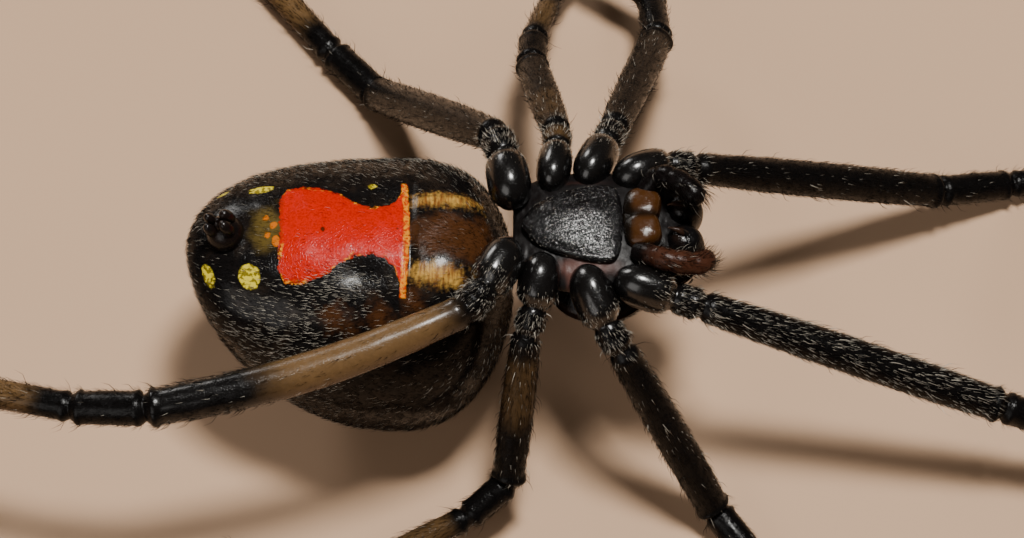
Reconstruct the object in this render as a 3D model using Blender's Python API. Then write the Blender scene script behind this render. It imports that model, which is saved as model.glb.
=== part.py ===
"""Female black widow spider, life size, lying belly up in the pose of its web.

The script works in millimetres and turns them into metres as each mesh is made. +X runs from the
spinnerets to the head, +Z is the belly side, and -Y is the spider's left. The origin lies on the
small flat on which the back of the abdomen rests, so the floor is the plane Z = 0.
"""
import math

import bmesh
import bpy
from mathutils import Vector

MM = 0.001
GAP = 0.3                  # between two pieces that meet
FLOOR = 0.0

# Abdomen, along X
ABDOMEN_REAR = -5.0
ABDOMEN_WIDEST = 0.25
ABDOMEN_FRONT = 3.2
ABDOMEN_HALF_WIDTH = 3.52
ABDOMEN_HEIGHT = 6.9
REAR_END_HEIGHT = 5.9
FRONT_END_HEIGHT = 4.3
REST_DIP = 0.07            # how far the round back would pass below the floor flat
ABDOMEN_RINGS = 30
ABDOMEN_SIDES = 44

# Hourglass mark, along X from its rear lobe to its front bar
MARK_REAR = -2.64
MARK_FRONT = 0.5
MARK_LOBE = 1.28           # half width of the rear lobe
MARK_WAIST = 0.62
MARK_WAIST_X = -0.37
MARK_BAR = 1.45            # half width of the front bar
MARK_DEPTH = 0.9
MARK_STATIONS = 18

# Front body: carapace below, sternum above, both on one midline
MIDLINE = 0.3              # the front body sits this far to the spider's right
CARAPACE_REAR = 3.85
CARAPACE_FRONT = 8.0
CARAPACE_HALF_WIDTH = 1.9
HEAD_HALF_WIDTH = 1.05
MARGIN_HEIGHT = 5.0
CARAPACE_DEPTH = 1.4       # from the margin down to the back
CORE_RISE = 0.95           # from the margin up between the leg roots
CARAPACE_RINGS = 20
CARAPACE_SIDES = 32
EYE_RADIUS = 0.11
EYE_ROWS = ((7.74, 0.62, 0.27), (7.42, 0.98, 0.25))    # along X, below the margin, spacing
STERNUM_REAR = 3.42
STERNUM_FRONT = 5.95
STERNUM_HALF_WIDTH = 1.04
STERNUM_TOP = 7.0
STERNUM_BOTTOM = 6.3

# Legs: pair number to link lengths, from the body out
LINKS = ("coxa", "trochanter", "femur", "patella", "tibia", "metatarsus", "tarsus")
LENGTHS = {
    1: (1.4, 0.78, 8.4, 2.3, 5.9, 7.9, 2.4),
    2: (1.45, 0.75, 6.0, 1.9, 3.6, 4.6, 1.6),
    3: (1.25, 0.68, 4.5, 1.4, 2.4, 3.2, 1.4),
    4: (1.35, 0.82, 8.2, 1.9, 5.0, 6.3, 1.9),
}
# Where each leg joins the front body: along X, out from the midline, height
HIPS = {
    ("left", 1): (5.86, 1.52, 6.56),
    ("left", 2): (4.96, 1.27, 6.55),
    ("left", 3): (3.95, 0.91, 6.55),
    ("left", 4): (3.14, 0.76, 6.85),
    ("right", 1): (5.91, 1.38, 6.55),
    ("right", 2): (5.05, 1.36, 6.6),
    ("right", 3): (4.16, 1.18, 6.6),
    ("right", 4): (3.2, 0.6, 6.75),
}
# Half thickness of each link at its start, at its thickest and at its end
RADII = {
    "coxa": (0.25, 0.46, 0.38),
    "trochanter": (0.38, 0.43, 0.38),
    "femur": (0.4, 0.5, 0.44),
    "patella": (0.4, 0.44, 0.38),
    "tibia": (0.36, 0.37, 0.31),
    "metatarsus": (0.28, 0.28, 0.26),
    "tarsus": (0.26, 0.26, 0.16),
}
PAIR_THICKNESS = {1: 0.98, 2: 0.95, 3: 0.9, 4: 1.04}
COXA_TALLNESS = 1.2        # a coxa is this much deeper than wide
# Stance: heading and rise of each link in degrees; heading 0 is +X and 90 the spider's right
STANCE = {
    ("left", 1): ((-15, -11), (-11, -14), (-10, -20.5), (-10.5, -18.5), (-9, -12.5), (-7, -6.5), (-5, -3)),
    ("left", 2): ((-67, -21), (-49.5, -32.5), (-40.5, -56), (-52, -8), (-56, -1), (-60, -1.5), (-62, -4.5)),
    ("left", 3): ((-100, -25), (-114, -38), (-101, -57.5), (-143, -18), (-158, -12), (176, -12), (160, -5)),
    ("left", 4): ((-117, 3), (-128, 6), (-163.5, -5.5), (174.5, -9.5), (167, -3.5), (163, -1.5), (160, -0.5)),
    ("right", 1): ((26, -16), (5.5, -19), (15.5, -33), (17.5, -20), (8, -1), (6, -1), (5, -4)),
    ("right", 2): ((68, -20), (70.5, -25), (74.5, -34), (93.5, -23), (146, 12), (150, 8.5), (152, 3)),
    ("right", 3): ((82, -12.5), (90, -23), (100, -35.5), (87, -28), (76, -31), (62, -23.5), (58, -6)),
    ("right", 4): ((99.5, -2), (105.5, -18), (125, -45.5), (132, -3), (129, -1), (127, -1.5), (126, -3.5)),
}
# How far the middle of a femur stands off the line between its ends, sideways, away from the belly
FEMUR_BOW = {("left", 4): -0.35}
LEG_SIDES = 12
LINK_STATIONS = (0.0, 0.08, 0.32, 0.62, 0.92, 1.0)

# Mouthparts and feelers
MOUTH_MIDLINE = 0.42
LABIUM = (6.18, 6.4)       # from and to, along X
LABIUM_HALF_WIDTH = 0.13
LABIUM_HALF_DEPTH = 0.2
LABIUM_HEIGHTS = (6.7, 6.78)   # of its middle, behind and in front
ENDITE_REAR = 6.14
ENDITE_FRONT = 6.86
ENDITE_HALF_WIDTH = 0.28
ENDITE_HALF_DEPTH = 0.34
ENDITE_HEIGHTS = (6.66, 6.8)   # of its middle, behind and in front
ENDITE_SPREAD = (0.62, 0.46)   # out from the mouth's midline, behind and in front
CHELICERA_X = 7.45
CHELICERA_LENGTH = 1.42
CHELICERA_SPREAD = 0.5
CHELICERA_RADIUS = 0.4
CHELICERA_LEAN = 0.35      # forward over its length
CHELICERA_TOE_IN = 0.06
FANG_RADIUS = 0.13
FANG_REACH = (0.55, 0.12, 0.12)    # back, in and up from the end of the jaw to the fang's tip
FANG_CREST = 0.16
PALP_RADII = (0.2, 0.27, 0.25)
PALP_ROUTES = {
    "left": ((6.66, -0.76, 6.98), (7.2, -0.97, 7.08), (7.8, -0.96, 6.93), (8.16, -0.62, 6.76)),
    "right": ((6.85, 1.4, 7.15), (7.22, 1.2, 7.36), (7.6, 0.88, 7.45), (7.88, 0.5, 7.36)),
}

# The stalk between abdomen and front body
PEDICEL = ((3.25, 0.16, 5.72), (3.67, 0.25, 5.66))
PEDICEL_RADIUS = 0.3

# Spinnerets
SPINNERET_X = -4.0
SPINNERET_BASE = 0.48
SPINNERET_LIFT = 0.3
SPINNERET_CONES = ((0.2, 0.19, 0.16, 0.5), (-0.02, 0.1, 0.09, 0.36), (-0.22, 0.18, 0.14, 0.46))
#                  each pair: ahead of the middle, out from it, radius, length


def clear_scene():
    for item in list(bpy.data.objects):
        bpy.data.objects.remove(item, do_unlink=True)


def finish(name, colour, roughness, coat=0.0):
    """A plain cuticle finish in one colour."""
    made = bpy.data.materials.new(name)
    made.use_nodes = True
    shader = made.node_tree.nodes["Principled BSDF"]
    shader.inputs["Base Color"].default_value = (*colour, 1.0)
    shader.inputs["Roughness"].default_value = roughness
    shader.inputs["Metallic"].default_value = 0.0
    shader.inputs["Coat Weight"].default_value = coat
    return made


def place(name, mesh_maker, pivot, material, root):
    """One sub-part: its mesh is drawn around its pivot, and the object stands at that pivot."""
    mesh = bpy.data.meshes.new(name)
    shape = bmesh.new()
    mesh_maker(shape)
    bmesh.ops.recalc_face_normals(shape, faces=shape.faces)
    bmesh.ops.translate(shape, verts=shape.verts, vec=-Vector(pivot))
    bmesh.ops.scale(shape, verts=shape.verts, vec=(MM, MM, MM))
    shape.to_mesh(mesh)
    shape.free()
    mesh.shade_smooth()
    mesh.set_sharp_from_angle(angle=math.radians(40))
    mesh.materials.append(material)
    part = bpy.data.objects.new(name, mesh)
    bpy.context.collection.objects.link(part)
    part.location = Vector(pivot) * MM
    part.parent = root
    return part


def skin_rings(shape, rings, start_pole=None, end_pole=None):
    """Join rings of points into one closed tube; a pole closes an end, or else its middle does."""
    rows = [[shape.verts.new(point) for point in ring] for ring in rings]
    count = len(rows[0])
    for lower, upper in zip(rows, rows[1:]):
        for i in range(count):
            j = (i + 1) % count
            shape.faces.new((lower[i], lower[j], upper[j], upper[i]))
    for row, ring, pole in ((rows[0], rings[0], start_pole), (rows[-1], rings[-1], end_pole)):
        middle = pole if pole is not None else sum(ring, Vector()) / count
        hub = shape.verts.new(middle)
        for i in range(count):
            shape.faces.new((row[i], row[(i + 1) % count], hub))


def spaced(count):
    """Values from 0 to 1, closer together near both ends, without the ends themselves."""
    return [0.5 - 0.5 * math.cos(math.pi * i / (count + 1)) for i in range(1, count + 1)]


def round_fall(u, power, bend):
    """Falls from 1 at u = 0 to 0 at u = 1, where it arrives upright and so closes round."""
    return max(0.0, 1.0 - u ** power) ** bend


# Abdomen: half width, belly line and back line as functions of the place along X

def abdomen_share(x):
    """How far x lies from the widest place towards the end on its side, from 0 to 1."""
    if x >= ABDOMEN_WIDEST:
        return (x - ABDOMEN_WIDEST) / (ABDOMEN_FRONT - ABDOMEN_WIDEST)
    return (ABDOMEN_WIDEST - x) / (ABDOMEN_WIDEST - ABDOMEN_REAR)


def abdomen_half_width(x):
    power = 2.4 if x >= ABDOMEN_WIDEST else 2.2
    return ABDOMEN_HALF_WIDTH * round_fall(abdomen_share(x), power, 0.5)


def abdomen_top(x):
    end = FRONT_END_HEIGHT if x >= ABDOMEN_WIDEST else REAR_END_HEIGHT
    return end + (ABDOMEN_HEIGHT - end) * round_fall(abdomen_share(x), 4.0, 0.5)


def abdomen_bottom(x):
    front = x >= ABDOMEN_WIDEST
    end = FRONT_END_HEIGHT if front else REAR_END_HEIGHT
    fall = round_fall(abdomen_share(x), 2.1, 0.5 if front else 0.75)
    return end - (end + REST_DIP) * fall


def abdomen_ring(x, grow=0.0):
    top = abdomen_top(x)
    bottom = abdomen_bottom(x)
    middle = 0.5 * (top + bottom)
    tall = 0.5 * (top - bottom) + grow
    wide = abdomen_half_width(x) + grow
    ring = []
    for i in range(ABDOMEN_SIDES):
        turn = 2.0 * math.pi * i / ABDOMEN_SIDES
        z = middle + tall * math.sin(turn)
        ring.append(Vector((x, wide * math.cos(turn), max(z, FLOOR))))
    return ring


def draw_abdomen(shape):
    span = ABDOMEN_FRONT - ABDOMEN_REAR
    stations = [ABDOMEN_REAR + span * s for s in spaced(ABDOMEN_RINGS)]
    rings = [abdomen_ring(x) for x in stations]
    skin_rings(shape, rings, Vector((ABDOMEN_REAR, 0.0, REAR_END_HEIGHT)),
               Vector((ABDOMEN_FRONT, 0.0, FRONT_END_HEIGHT)))


def mark_half_width(x):
    """Outline of the hourglass: a broad rear lobe, a waist, then a wide narrow bar in front."""
    if x < MARK_WAIST_X:
        share = (x - MARK_REAR) / (MARK_WAIST_X - MARK_REAR)
        lobe = MARK_LOBE * math.sin(0.5 * math.pi * min(1.0, 0.5 + share * 2.2))
        pinch = 0.5 - 0.5 * math.cos(math.pi * max(0.0, (share - 0.45) / 0.55))
        return lobe + (MARK_WAIST - lobe) * pinch
    share = (x - MARK_WAIST_X) / (MARK_FRONT - MARK_WAIST_X)
    return MARK_WAIST + (MARK_BAR - MARK_WAIST) * share ** 1.6


def grown(outline, amount):
    """The outline with each corner moved out along its halving line, so all sides move by amount."""
    moved = []
    for i, corner in enumerate(outline):
        back = (Vector(corner) - Vector(outline[i - 1])).normalized()
        ahead = (Vector(outline[(i + 1) % len(outline)]) - Vector(corner)).normalized()
        between = (back + ahead).normalized()
        reach = amount / between.dot(back)
        moved.append((corner[0] + between.y * reach, corner[1] - between.x * reach))
    return moved


def draw_mark_prism(shape, floor, ceiling, grow):
    """An upright block with the outline of the hourglass, made larger all round by grow."""
    span = MARK_FRONT - MARK_REAR
    stations = [MARK_REAR + span * i / (MARK_STATIONS - 1) for i in range(MARK_STATIONS)]
    half = [(x, mark_half_width(x)) for x in stations]
    outline = grown([(x, -w) for x, w in half] + [(x, w) for x, w in reversed(half)], grow)
    low = [shape.verts.new((x, y, floor)) for x, y in outline]
    high = [shape.verts.new((x, y, ceiling)) for x, y in outline]
    count = len(outline)
    for i in range(count):
        j = (i + 1) % count
        shape.faces.new((low[i], low[j], high[j], high[i]))
    columns = MARK_STATIONS - 1
    for i in range(columns):
        j = count - 1 - i
        shape.faces.new((low[i], low[j], low[j - 1], low[i + 1]))
        shape.faces.new((high[i], high[i + 1], high[j - 1], high[j]))


def use_boolean(part, operation, other):
    """Apply one exact Boolean with another object, then take that object away."""
    cut = part.modifiers.new(operation.lower(), "BOOLEAN")
    cut.operation = operation
    cut.solver = "EXACT"
    cut.object = other
    bpy.context.view_layer.update()
    depsgraph = bpy.context.evaluated_depsgraph_get()
    result = bpy.data.meshes.new_from_object(part.evaluated_get(depsgraph))
    part.modifiers.clear()
    part.data = result
    bpy.data.objects.remove(other, do_unlink=True)


def make_abdomen(root, black, red):
    pivot = (0.0, 0.0, 0.0)
    abdomen = place("abdomen", draw_abdomen, pivot, black, root)
    mark = place("hourglass_mark", draw_abdomen, pivot, red, root)
    floor = ABDOMEN_HEIGHT - MARK_DEPTH
    ceiling = ABDOMEN_HEIGHT + 1.0
    keeper = place("mark_keeper", lambda shape: draw_mark_prism(shape, floor, ceiling, 0.0),
                   pivot, red, root)
    use_boolean(mark, "INTERSECT", keeper)
    cutter = place("mark_cutter", lambda shape: draw_mark_prism(shape, floor - GAP, ceiling, GAP),
                   pivot, red, root)
    use_boolean(abdomen, "DIFFERENCE", cutter)
    return abdomen


# Front body

def carapace_half_width(x):
    """Broad behind over the legs, then drawn in to the head, with a round rear and front."""
    share = (x - CARAPACE_REAR) / (CARAPACE_FRONT - CARAPACE_REAR)
    ends = math.sqrt(max(0.0, 1.0 - abs(2.0 * share - 1.0) ** 3.4))
    draw_in = 1.0 / (1.0 + math.exp(-(share - 0.62) * 14.0))
    return ends * (CARAPACE_HALF_WIDTH + (HEAD_HALF_WIDTH - CARAPACE_HALF_WIDTH) * draw_in)


def carapace_ring(x):
    share = (x - CARAPACE_REAR) / (CARAPACE_FRONT - CARAPACE_REAR)
    ends = math.sqrt(max(0.0, 1.0 - abs(2.0 * share - 1.0) ** 3.0))
    back = CARAPACE_DEPTH * ends * (0.86 + 0.14 * math.cos(2.0 * math.pi * (share - 0.72)))
    core = CORE_RISE * ends / (1.0 + math.exp((share - 0.7) * 22.0))
    wide = carapace_half_width(x)
    ring = []
    for i in range(CARAPACE_SIDES):
        turn = 2.0 * math.pi * i / CARAPACE_SIDES
        up = math.sin(turn)
        z = MARGIN_HEIGHT + (core * up ** 2.2 if up > 0.0 else back * up)
        ring.append(Vector((x, MIDLINE + wide * math.cos(turn), z)))
    return ring


def draw_carapace(shape):
    span = CARAPACE_FRONT - CARAPACE_REAR
    rings = [carapace_ring(CARAPACE_REAR + span * s) for s in spaced(CARAPACE_RINGS)]
    skin_rings(shape, rings, Vector((CARAPACE_REAR, MIDLINE, MARGIN_HEIGHT)),
               Vector((CARAPACE_FRONT, MIDLINE, MARGIN_HEIGHT)))


def add_ball(shape, centre, radius):
    made = bmesh.ops.create_icosphere(shape, subdivisions=1, radius=radius)
    bmesh.ops.translate(shape, verts=made["verts"], vec=Vector(centre))


def make_carapace(root, black):
    """The shield of the back, with its eight eyes in two rows as small domes on the face."""
    pivot = (CARAPACE_REAR, MIDLINE, MARGIN_HEIGHT)
    carapace = place("carapace", draw_carapace, pivot, black, root)
    for row, (x, depth, spread) in enumerate(EYE_ROWS):
        for place_in_row in (-1.5, -0.5, 0.5, 1.5):
            outward = abs(place_in_row) - 1.0
            centre = (x - 0.07 * outward, MIDLINE + spread * place_in_row,
                      MARGIN_HEIGHT - depth + 0.12 * outward)
            eye = place("eye_%d_%d" % (row, int(place_in_row * 2)),
                        lambda shape, c=centre: add_ball(shape, c, EYE_RADIUS), pivot, black, root)
            use_boolean(carapace, "UNION", eye)


def sternum_half_width(share):
    """Shield outline: drawn to a point behind, widest at four fifths, cut off blunt in front."""
    return STERNUM_HALF_WIDTH * (1.0 - (1.0 - share) ** 2) ** 0.6 * (1.0 - share ** 20) ** 0.45


def draw_sternum(shape):
    middle = 0.5 * (STERNUM_TOP + STERNUM_BOTTOM)
    tall = 0.5 * (STERNUM_TOP - STERNUM_BOTTOM)
    rings = []
    for share in spaced(12):
        x = STERNUM_REAR + (STERNUM_FRONT - STERNUM_REAR) * share
        wide = sternum_half_width(share)
        height = tall * (0.45 + 0.55 * math.sin(math.pi * share) ** 0.5)
        ring = []
        for i in range(20):
            turn = 2.0 * math.pi * i / 20
            side = math.copysign(abs(math.cos(turn)) ** 0.8, math.cos(turn))
            ring.append(Vector((x, MIDLINE + wide * side, middle + height * math.sin(turn))))
        rings.append(ring)
    skin_rings(shape, rings)


def draw_pod(shape, start, end, wide, tall, sides=14, count=8):
    """A rounded block along a straight line, as an egg with blunt ends."""
    start = Vector(start)
    end = Vector(end)
    along = (end - start).normalized()
    across = along.cross(Vector((0.0, 0.0, 1.0)))
    if across.length < 0.3:
        across = Vector((0.0, 1.0, 0.0))
    across.normalize()
    upward = across.cross(along)
    rings = []
    for share in spaced(count):
        swell = math.sin(math.pi * share) ** 0.45
        centre = start.lerp(end, share)
        rings.append([centre + across * (wide * swell * math.cos(2.0 * math.pi * i / sides))
                      + upward * (tall * swell * math.sin(2.0 * math.pi * i / sides))
                      for i in range(sides)])
    skin_rings(shape, rings, start, end)


def make_mouth(root, amber, black):
    labium = [(x, MOUTH_MIDLINE, height) for x, height in zip(LABIUM, LABIUM_HEIGHTS)]
    place("labium",
          lambda shape: draw_pod(shape, *labium, LABIUM_HALF_WIDTH, LABIUM_HALF_DEPTH, 12, 6),
          labium[0], amber, root)
    for side, sign in (("left", -1.0), ("right", 1.0)):
        start, end = ((x, MOUTH_MIDLINE + sign * spread, height) for x, spread, height in
                      zip((ENDITE_REAR, ENDITE_FRONT), ENDITE_SPREAD, ENDITE_HEIGHTS))
        place("endite_" + side,
              lambda shape, a=start, b=end: draw_pod(shape, a, b, ENDITE_HALF_WIDTH,
                                                     ENDITE_HALF_DEPTH),
              start, amber, root)
        make_chelicera(root, black, side, sign)


def make_chelicera(root, black, side, sign):
    """The stout base joint of a jaw with its fang folded in across the tip."""
    start = Vector((CHELICERA_X - 0.1, MOUTH_MIDLINE + sign * CHELICERA_SPREAD, MARGIN_HEIGHT + GAP))
    end = start + Vector((CHELICERA_LEAN, -sign * CHELICERA_TOE_IN, CHELICERA_LENGTH))
    jaw = place("chelicera_" + side,
                lambda shape: draw_pod(shape, start, end, CHELICERA_RADIUS * 0.9,
                                       CHELICERA_RADIUS, 14, 8),
                start, black, root)
    back, inward, up = FANG_REACH
    tip = end + Vector((-back, -sign * inward, up))
    inside = end - Vector((0.0, 0.0, FANG_RADIUS * 1.4))
    fang = place("fang_" + side, lambda shape: draw_fang(shape, inside, tip), start, black, root)
    use_boolean(jaw, "UNION", fang)


def draw_fang(shape, start, tip):
    """A thin horn that bends over from the jaw and tapers to its point."""
    rings = []
    crest = start.lerp(tip, 0.45) + Vector((0.0, 0.0, FANG_CREST))
    for share in (0.0, 0.25, 0.5, 0.75, 0.92):
        centre = start.lerp(crest, share).lerp(crest.lerp(tip, share), share)
        radius = FANG_RADIUS * (1.0 - 0.75 * share)
        rings.append([centre + Vector((radius * math.cos(a), radius * math.sin(a), 0.0)).lerp(
            Vector((0.0, radius * math.cos(a), radius * math.sin(a))), share)
            for a in (2.0 * math.pi * i / 8 for i in range(8))])
    skin_rings(shape, rings, None, Vector(tip))


# Limbs

def direction(heading, rise):
    heading = math.radians(heading)
    rise = math.radians(rise)
    return Vector((math.cos(rise) * math.cos(heading), math.cos(rise) * math.sin(heading),
                   math.sin(rise)))


def link_radius(radii, share):
    start, thick, end = radii
    swell = thick - 0.5 * (start + end)
    return start + (end - start) * share + swell * math.sin(math.pi * share) ** 0.6


def link_rings(start, end, radii, start_plane, end_plane, start_gap, end_gap, tallness, bow):
    """Rings of one link, whose ends are cut on the planes it shares with its neighbours. Its middle
    stands off sideways by the bow."""
    along = (end - start).normalized()
    across = along.cross(Vector((0.0, 0.0, 1.0))).normalized()
    upward = across.cross(along)
    length = (end - start).length
    rings = []
    for share in LINK_STATIONS:
        ring = []
        radius = link_radius(radii, share)
        for i in range(LEG_SIDES):
            turn = 2.0 * math.pi * i / LEG_SIDES
            spoke = across * math.cos(turn) + upward * (math.sin(turn) * tallness)
            first = (start_gap - radii[0] * spoke.dot(start_plane)) / along.dot(start_plane)
            last = length - (end_gap + radii[2] * spoke.dot(end_plane)) / along.dot(end_plane)
            point = start + along * (first + (last - first) * share) + spoke * radius
            point += across * (bow * math.sin(math.pi * share))
            point.z = max(point.z, FLOOR)
            ring.append(point)
        rings.append(ring)
    return rings


def limb_plane(before, after):
    return (before + after).normalized()


def make_leg(root, finishes, side, pair):
    """One leg, from the hip out, as five pieces: coxa, femur, patella, tibia and foot."""
    sign = -1.0 if side == "left" else 1.0
    along, outward, height = HIPS[(side, pair)]
    joint = Vector((along, MIDLINE + sign * outward, height))
    joints = [joint]
    aims = [direction(*angles) for angles in STANCE[(side, pair)]]
    for aim, length in zip(aims, LENGTHS[pair]):
        joint = joint + aim * length
        joints.append(joint)
    scale = PAIR_THICKNESS[pair]
    pieces = (("coxa", (0, 1)), ("femur", (2,)), ("patella", (3,)), ("tibia", (4,)), ("foot", (5, 6)))
    for piece, links in pieces:
        rings = []
        for link in links:
            radii = [radius * scale for radius in RADII[LINKS[link]]]
            before = aims[link - 1] if link > 0 else aims[0]
            after = aims[link + 1] if link < len(aims) - 1 else aims[link]
            start_gap = 0.5 * GAP if link == links[0] and link > 0 else 0.0
            end_gap = 0.5 * GAP if link == links[-1] and link < len(aims) - 1 else 0.0
            tallness = COXA_TALLNESS if link == 0 else 1.0
            bow = FEMUR_BOW.get((side, pair), 0.0) if LINKS[link] == "femur" else 0.0
            made = link_rings(joints[link], joints[link + 1], radii, limb_plane(before, aims[link]),
                              limb_plane(aims[link], after), start_gap, end_gap, tallness, bow)
            rings.extend(made if link == links[0] else made[1:])
        tip = joints[-1] if links[-1] == len(aims) - 1 else None
        if tip is not None:
            tip = Vector((tip.x, tip.y, max(tip.z - 0.05, 0.06))) + aims[-1] * 0.12
        place("leg_%s_%d_%s" % (side, pair, piece),
              lambda shape, r=rings, t=tip: skin_rings(shape, r, None, t),
              joints[links[0]], finishes[piece], root)


def smooth_route(points, count):
    """Points along one smooth curve through the given ones, a Catmull-Rom curve."""
    knots = [Vector(p) for p in points]
    knots = [knots[0] * 2.0 - knots[1]] + knots + [knots[-1] * 2.0 - knots[-2]]
    spans = len(knots) - 3
    route = []
    for i in range(count):
        at = spans * i / (count - 1)
        span = min(int(at), spans - 1)
        t = at - span
        a, b, c, d = knots[span:span + 4]
        route.append(0.5 * ((b * 2.0) + (c - a) * t + (a * 2.0 - b * 5.0 + c * 4.0 - d) * t ** 2
                            + (b * 3.0 - a - c * 3.0 + d) * t ** 3))
    return route


def draw_palp(shape, points):
    route = smooth_route(points, 14)
    rings = []
    for i, centre in enumerate(route):
        along = (route[min(i + 1, 13)] - route[max(i - 1, 0)]).normalized()
        across = along.cross(Vector((0.0, 0.0, 1.0))).normalized()
        upward = across.cross(along)
        radius = link_radius(PALP_RADII, i / 13.0)
        rings.append([centre + across * (radius * math.cos(2.0 * math.pi * k / 12))
                      + upward * (radius * math.sin(2.0 * math.pi * k / 12)) for k in range(12)])
    skin_rings(shape, rings, None, route[-1] + (route[-1] - route[-2]).normalized() * 0.16)


def draw_pedicel(shape):
    start = Vector(PEDICEL[0])
    end = Vector(PEDICEL[1])
    sides = [2.0 * math.pi * i / 14 for i in range(14)]
    rings = []
    for share, size in ((0.0, 0.9), (0.35, 1.0), (0.7, 1.0), (1.0, 0.87)):
        centre = start.lerp(end, share)
        radius = PEDICEL_RADIUS * size
        rings.append([centre + Vector((0.0, radius * math.cos(a), radius * math.sin(a))) for a in sides])
    skin_rings(shape, rings)


def make_spinnerets(root, black):
    """A low ring with three pairs of blunt cones that lean to the rear, all just off the abdomen."""
    def above(x):
        return abdomen_top(x) + SPINNERET_LIFT

    pivot = (SPINNERET_X, 0.0, above(SPINNERET_X))

    def draw_base(shape):
        turns = [2.0 * math.pi * i / 20 for i in range(20)]
        rings = []
        for lift, radius in ((0.0, 1.0), (0.12, 1.02), (0.26, 0.86)):
            xs = [SPINNERET_X + SPINNERET_BASE * radius * math.cos(a) for a in turns]
            rings.append([Vector((x, SPINNERET_BASE * radius * math.sin(a), above(x) + lift))
                          for x, a in zip(xs, turns)])
        skin_rings(shape, rings)

    base = place("spinnerets", draw_base, pivot, black, root)
    for number, (ahead, out, radius, length) in enumerate(SPINNERET_CONES):
        for sign in (-1.0, 1.0):
            foot = Vector((SPINNERET_X + ahead, sign * out, above(SPINNERET_X + ahead) + 0.1))
            aim = Vector((-0.5, -sign * 0.1, 1.0)).normalized()
            cone = place("cone_%d_%d" % (number, sign),
                         lambda shape, f=foot, a=aim, r=radius, n=length: draw_cone(shape, f, a, r, n),
                         pivot, black, root)
            use_boolean(base, "UNION", cone)


def draw_cone(shape, foot, aim, radius, length):
    across = aim.cross(Vector((0.0, 1.0, 0.0))).normalized()
    upward = across.cross(aim)
    rings = []
    for share, size in ((0.0, 1.0), (0.6, 0.9), (0.9, 0.62)):
        rings.append([foot + aim * (length * share)
                      + across * (radius * size * math.cos(2.0 * math.pi * i / 10))
                      + upward * (radius * size * math.sin(2.0 * math.pi * i / 10)) for i in range(10)])
    skin_rings(shape, rings, None, foot + aim * length)


def build():
    clear_scene()
    root = bpy.data.objects.new("black_widow", None)
    bpy.context.collection.objects.link(root)
    black = finish("glossy_black_cuticle", (0.012, 0.011, 0.011), 0.3, 0.4)
    brown = finish("dark_brown_cuticle", (0.055, 0.022, 0.01), 0.35, 0.3)
    velvet = finish("black_abdomen", (0.014, 0.012, 0.012), 0.42, 0.2)
    red = finish("red_mark", (0.8, 0.05, 0.01), 0.5)
    amber = finish("amber_mouthparts", (0.2, 0.075, 0.02), 0.35, 0.3)
    make_abdomen(root, velvet, red)
    make_carapace(root, black)
    place("sternum", draw_sternum, (STERNUM_REAR, MIDLINE, STERNUM_BOTTOM), black, root)
    make_mouth(root, amber, black)
    place("pedicel", draw_pedicel, PEDICEL[0], brown, root)
    make_spinnerets(root, brown)
    for side, route in PALP_ROUTES.items():
        place("palp_" + side, lambda shape, r=route: draw_palp(shape, r), route[0], brown, root)
    finishes = {"coxa": black, "femur": black, "patella": black, "tibia": brown, "foot": brown}
    for side, pair in STANCE:
        make_leg(root, finishes, side, pair)


build()
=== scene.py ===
"""Looks of a life-size black widow spider that lies belly up on a pale floor.

Every shape is worked out in millimetres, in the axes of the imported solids: +X to the head, +Z the
belly side, -Y the spider's left. Each surface is a function of two parameters on a grid. Colour
fields are worked out by formula at every point and at every hair root, so skin and hair agree.
"""

import math

import bpy
import numpy as np
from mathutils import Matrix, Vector


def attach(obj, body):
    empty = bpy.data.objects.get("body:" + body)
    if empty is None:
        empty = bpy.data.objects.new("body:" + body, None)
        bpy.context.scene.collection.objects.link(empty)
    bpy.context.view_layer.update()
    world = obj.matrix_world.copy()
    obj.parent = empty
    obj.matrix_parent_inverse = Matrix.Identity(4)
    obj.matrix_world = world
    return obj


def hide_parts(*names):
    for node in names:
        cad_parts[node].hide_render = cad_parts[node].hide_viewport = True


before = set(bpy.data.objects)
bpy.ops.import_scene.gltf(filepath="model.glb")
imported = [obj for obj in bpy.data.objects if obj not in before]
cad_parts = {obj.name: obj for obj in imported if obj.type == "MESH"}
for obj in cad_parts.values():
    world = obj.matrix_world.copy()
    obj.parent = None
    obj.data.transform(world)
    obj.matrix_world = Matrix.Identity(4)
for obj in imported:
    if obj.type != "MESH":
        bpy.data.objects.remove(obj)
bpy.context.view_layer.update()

MM = 0.001
FLOOR = 0.0
SKIN_INSET = 0.03          # the skin lies this far inside the solids, for the hair's depth
HAIR_PATCH = 0.003         # width of a hair's patch on the unwrapped skin
HAIR_LIMIT = 18000         # hairs in one piece, which keeps it under 200,000 triangles
ABDOMEN_HAIRS = 60000      # drawn at first; fewer are kept where the belly is bare
PALP_HAIRS = 700
BRISTLE_SHARE = 0.035      # longer, thicker hairs among those of the legs
LEG_HAIR_RADIUS = 0.0042
BRISTLE_RADIUS = 0.0085
SHIELD_HAIR_RADIUS = 0.0045
COXA_ROOT = 0.14           # leg skins start this far inside the body
RNG = np.random.default_rng(1706)

# Abdomen, along X, as in the solids
ABDOMEN_REAR = -5.0
ABDOMEN_WIDEST = 0.25
ABDOMEN_FRONT = 3.2
ABDOMEN_HALF_WIDTH = 3.52
ABDOMEN_HEIGHT = 6.9
REAR_END_HEIGHT = 5.9
FRONT_END_HEIGHT = 4.3
REST_DIP = 0.07

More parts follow.
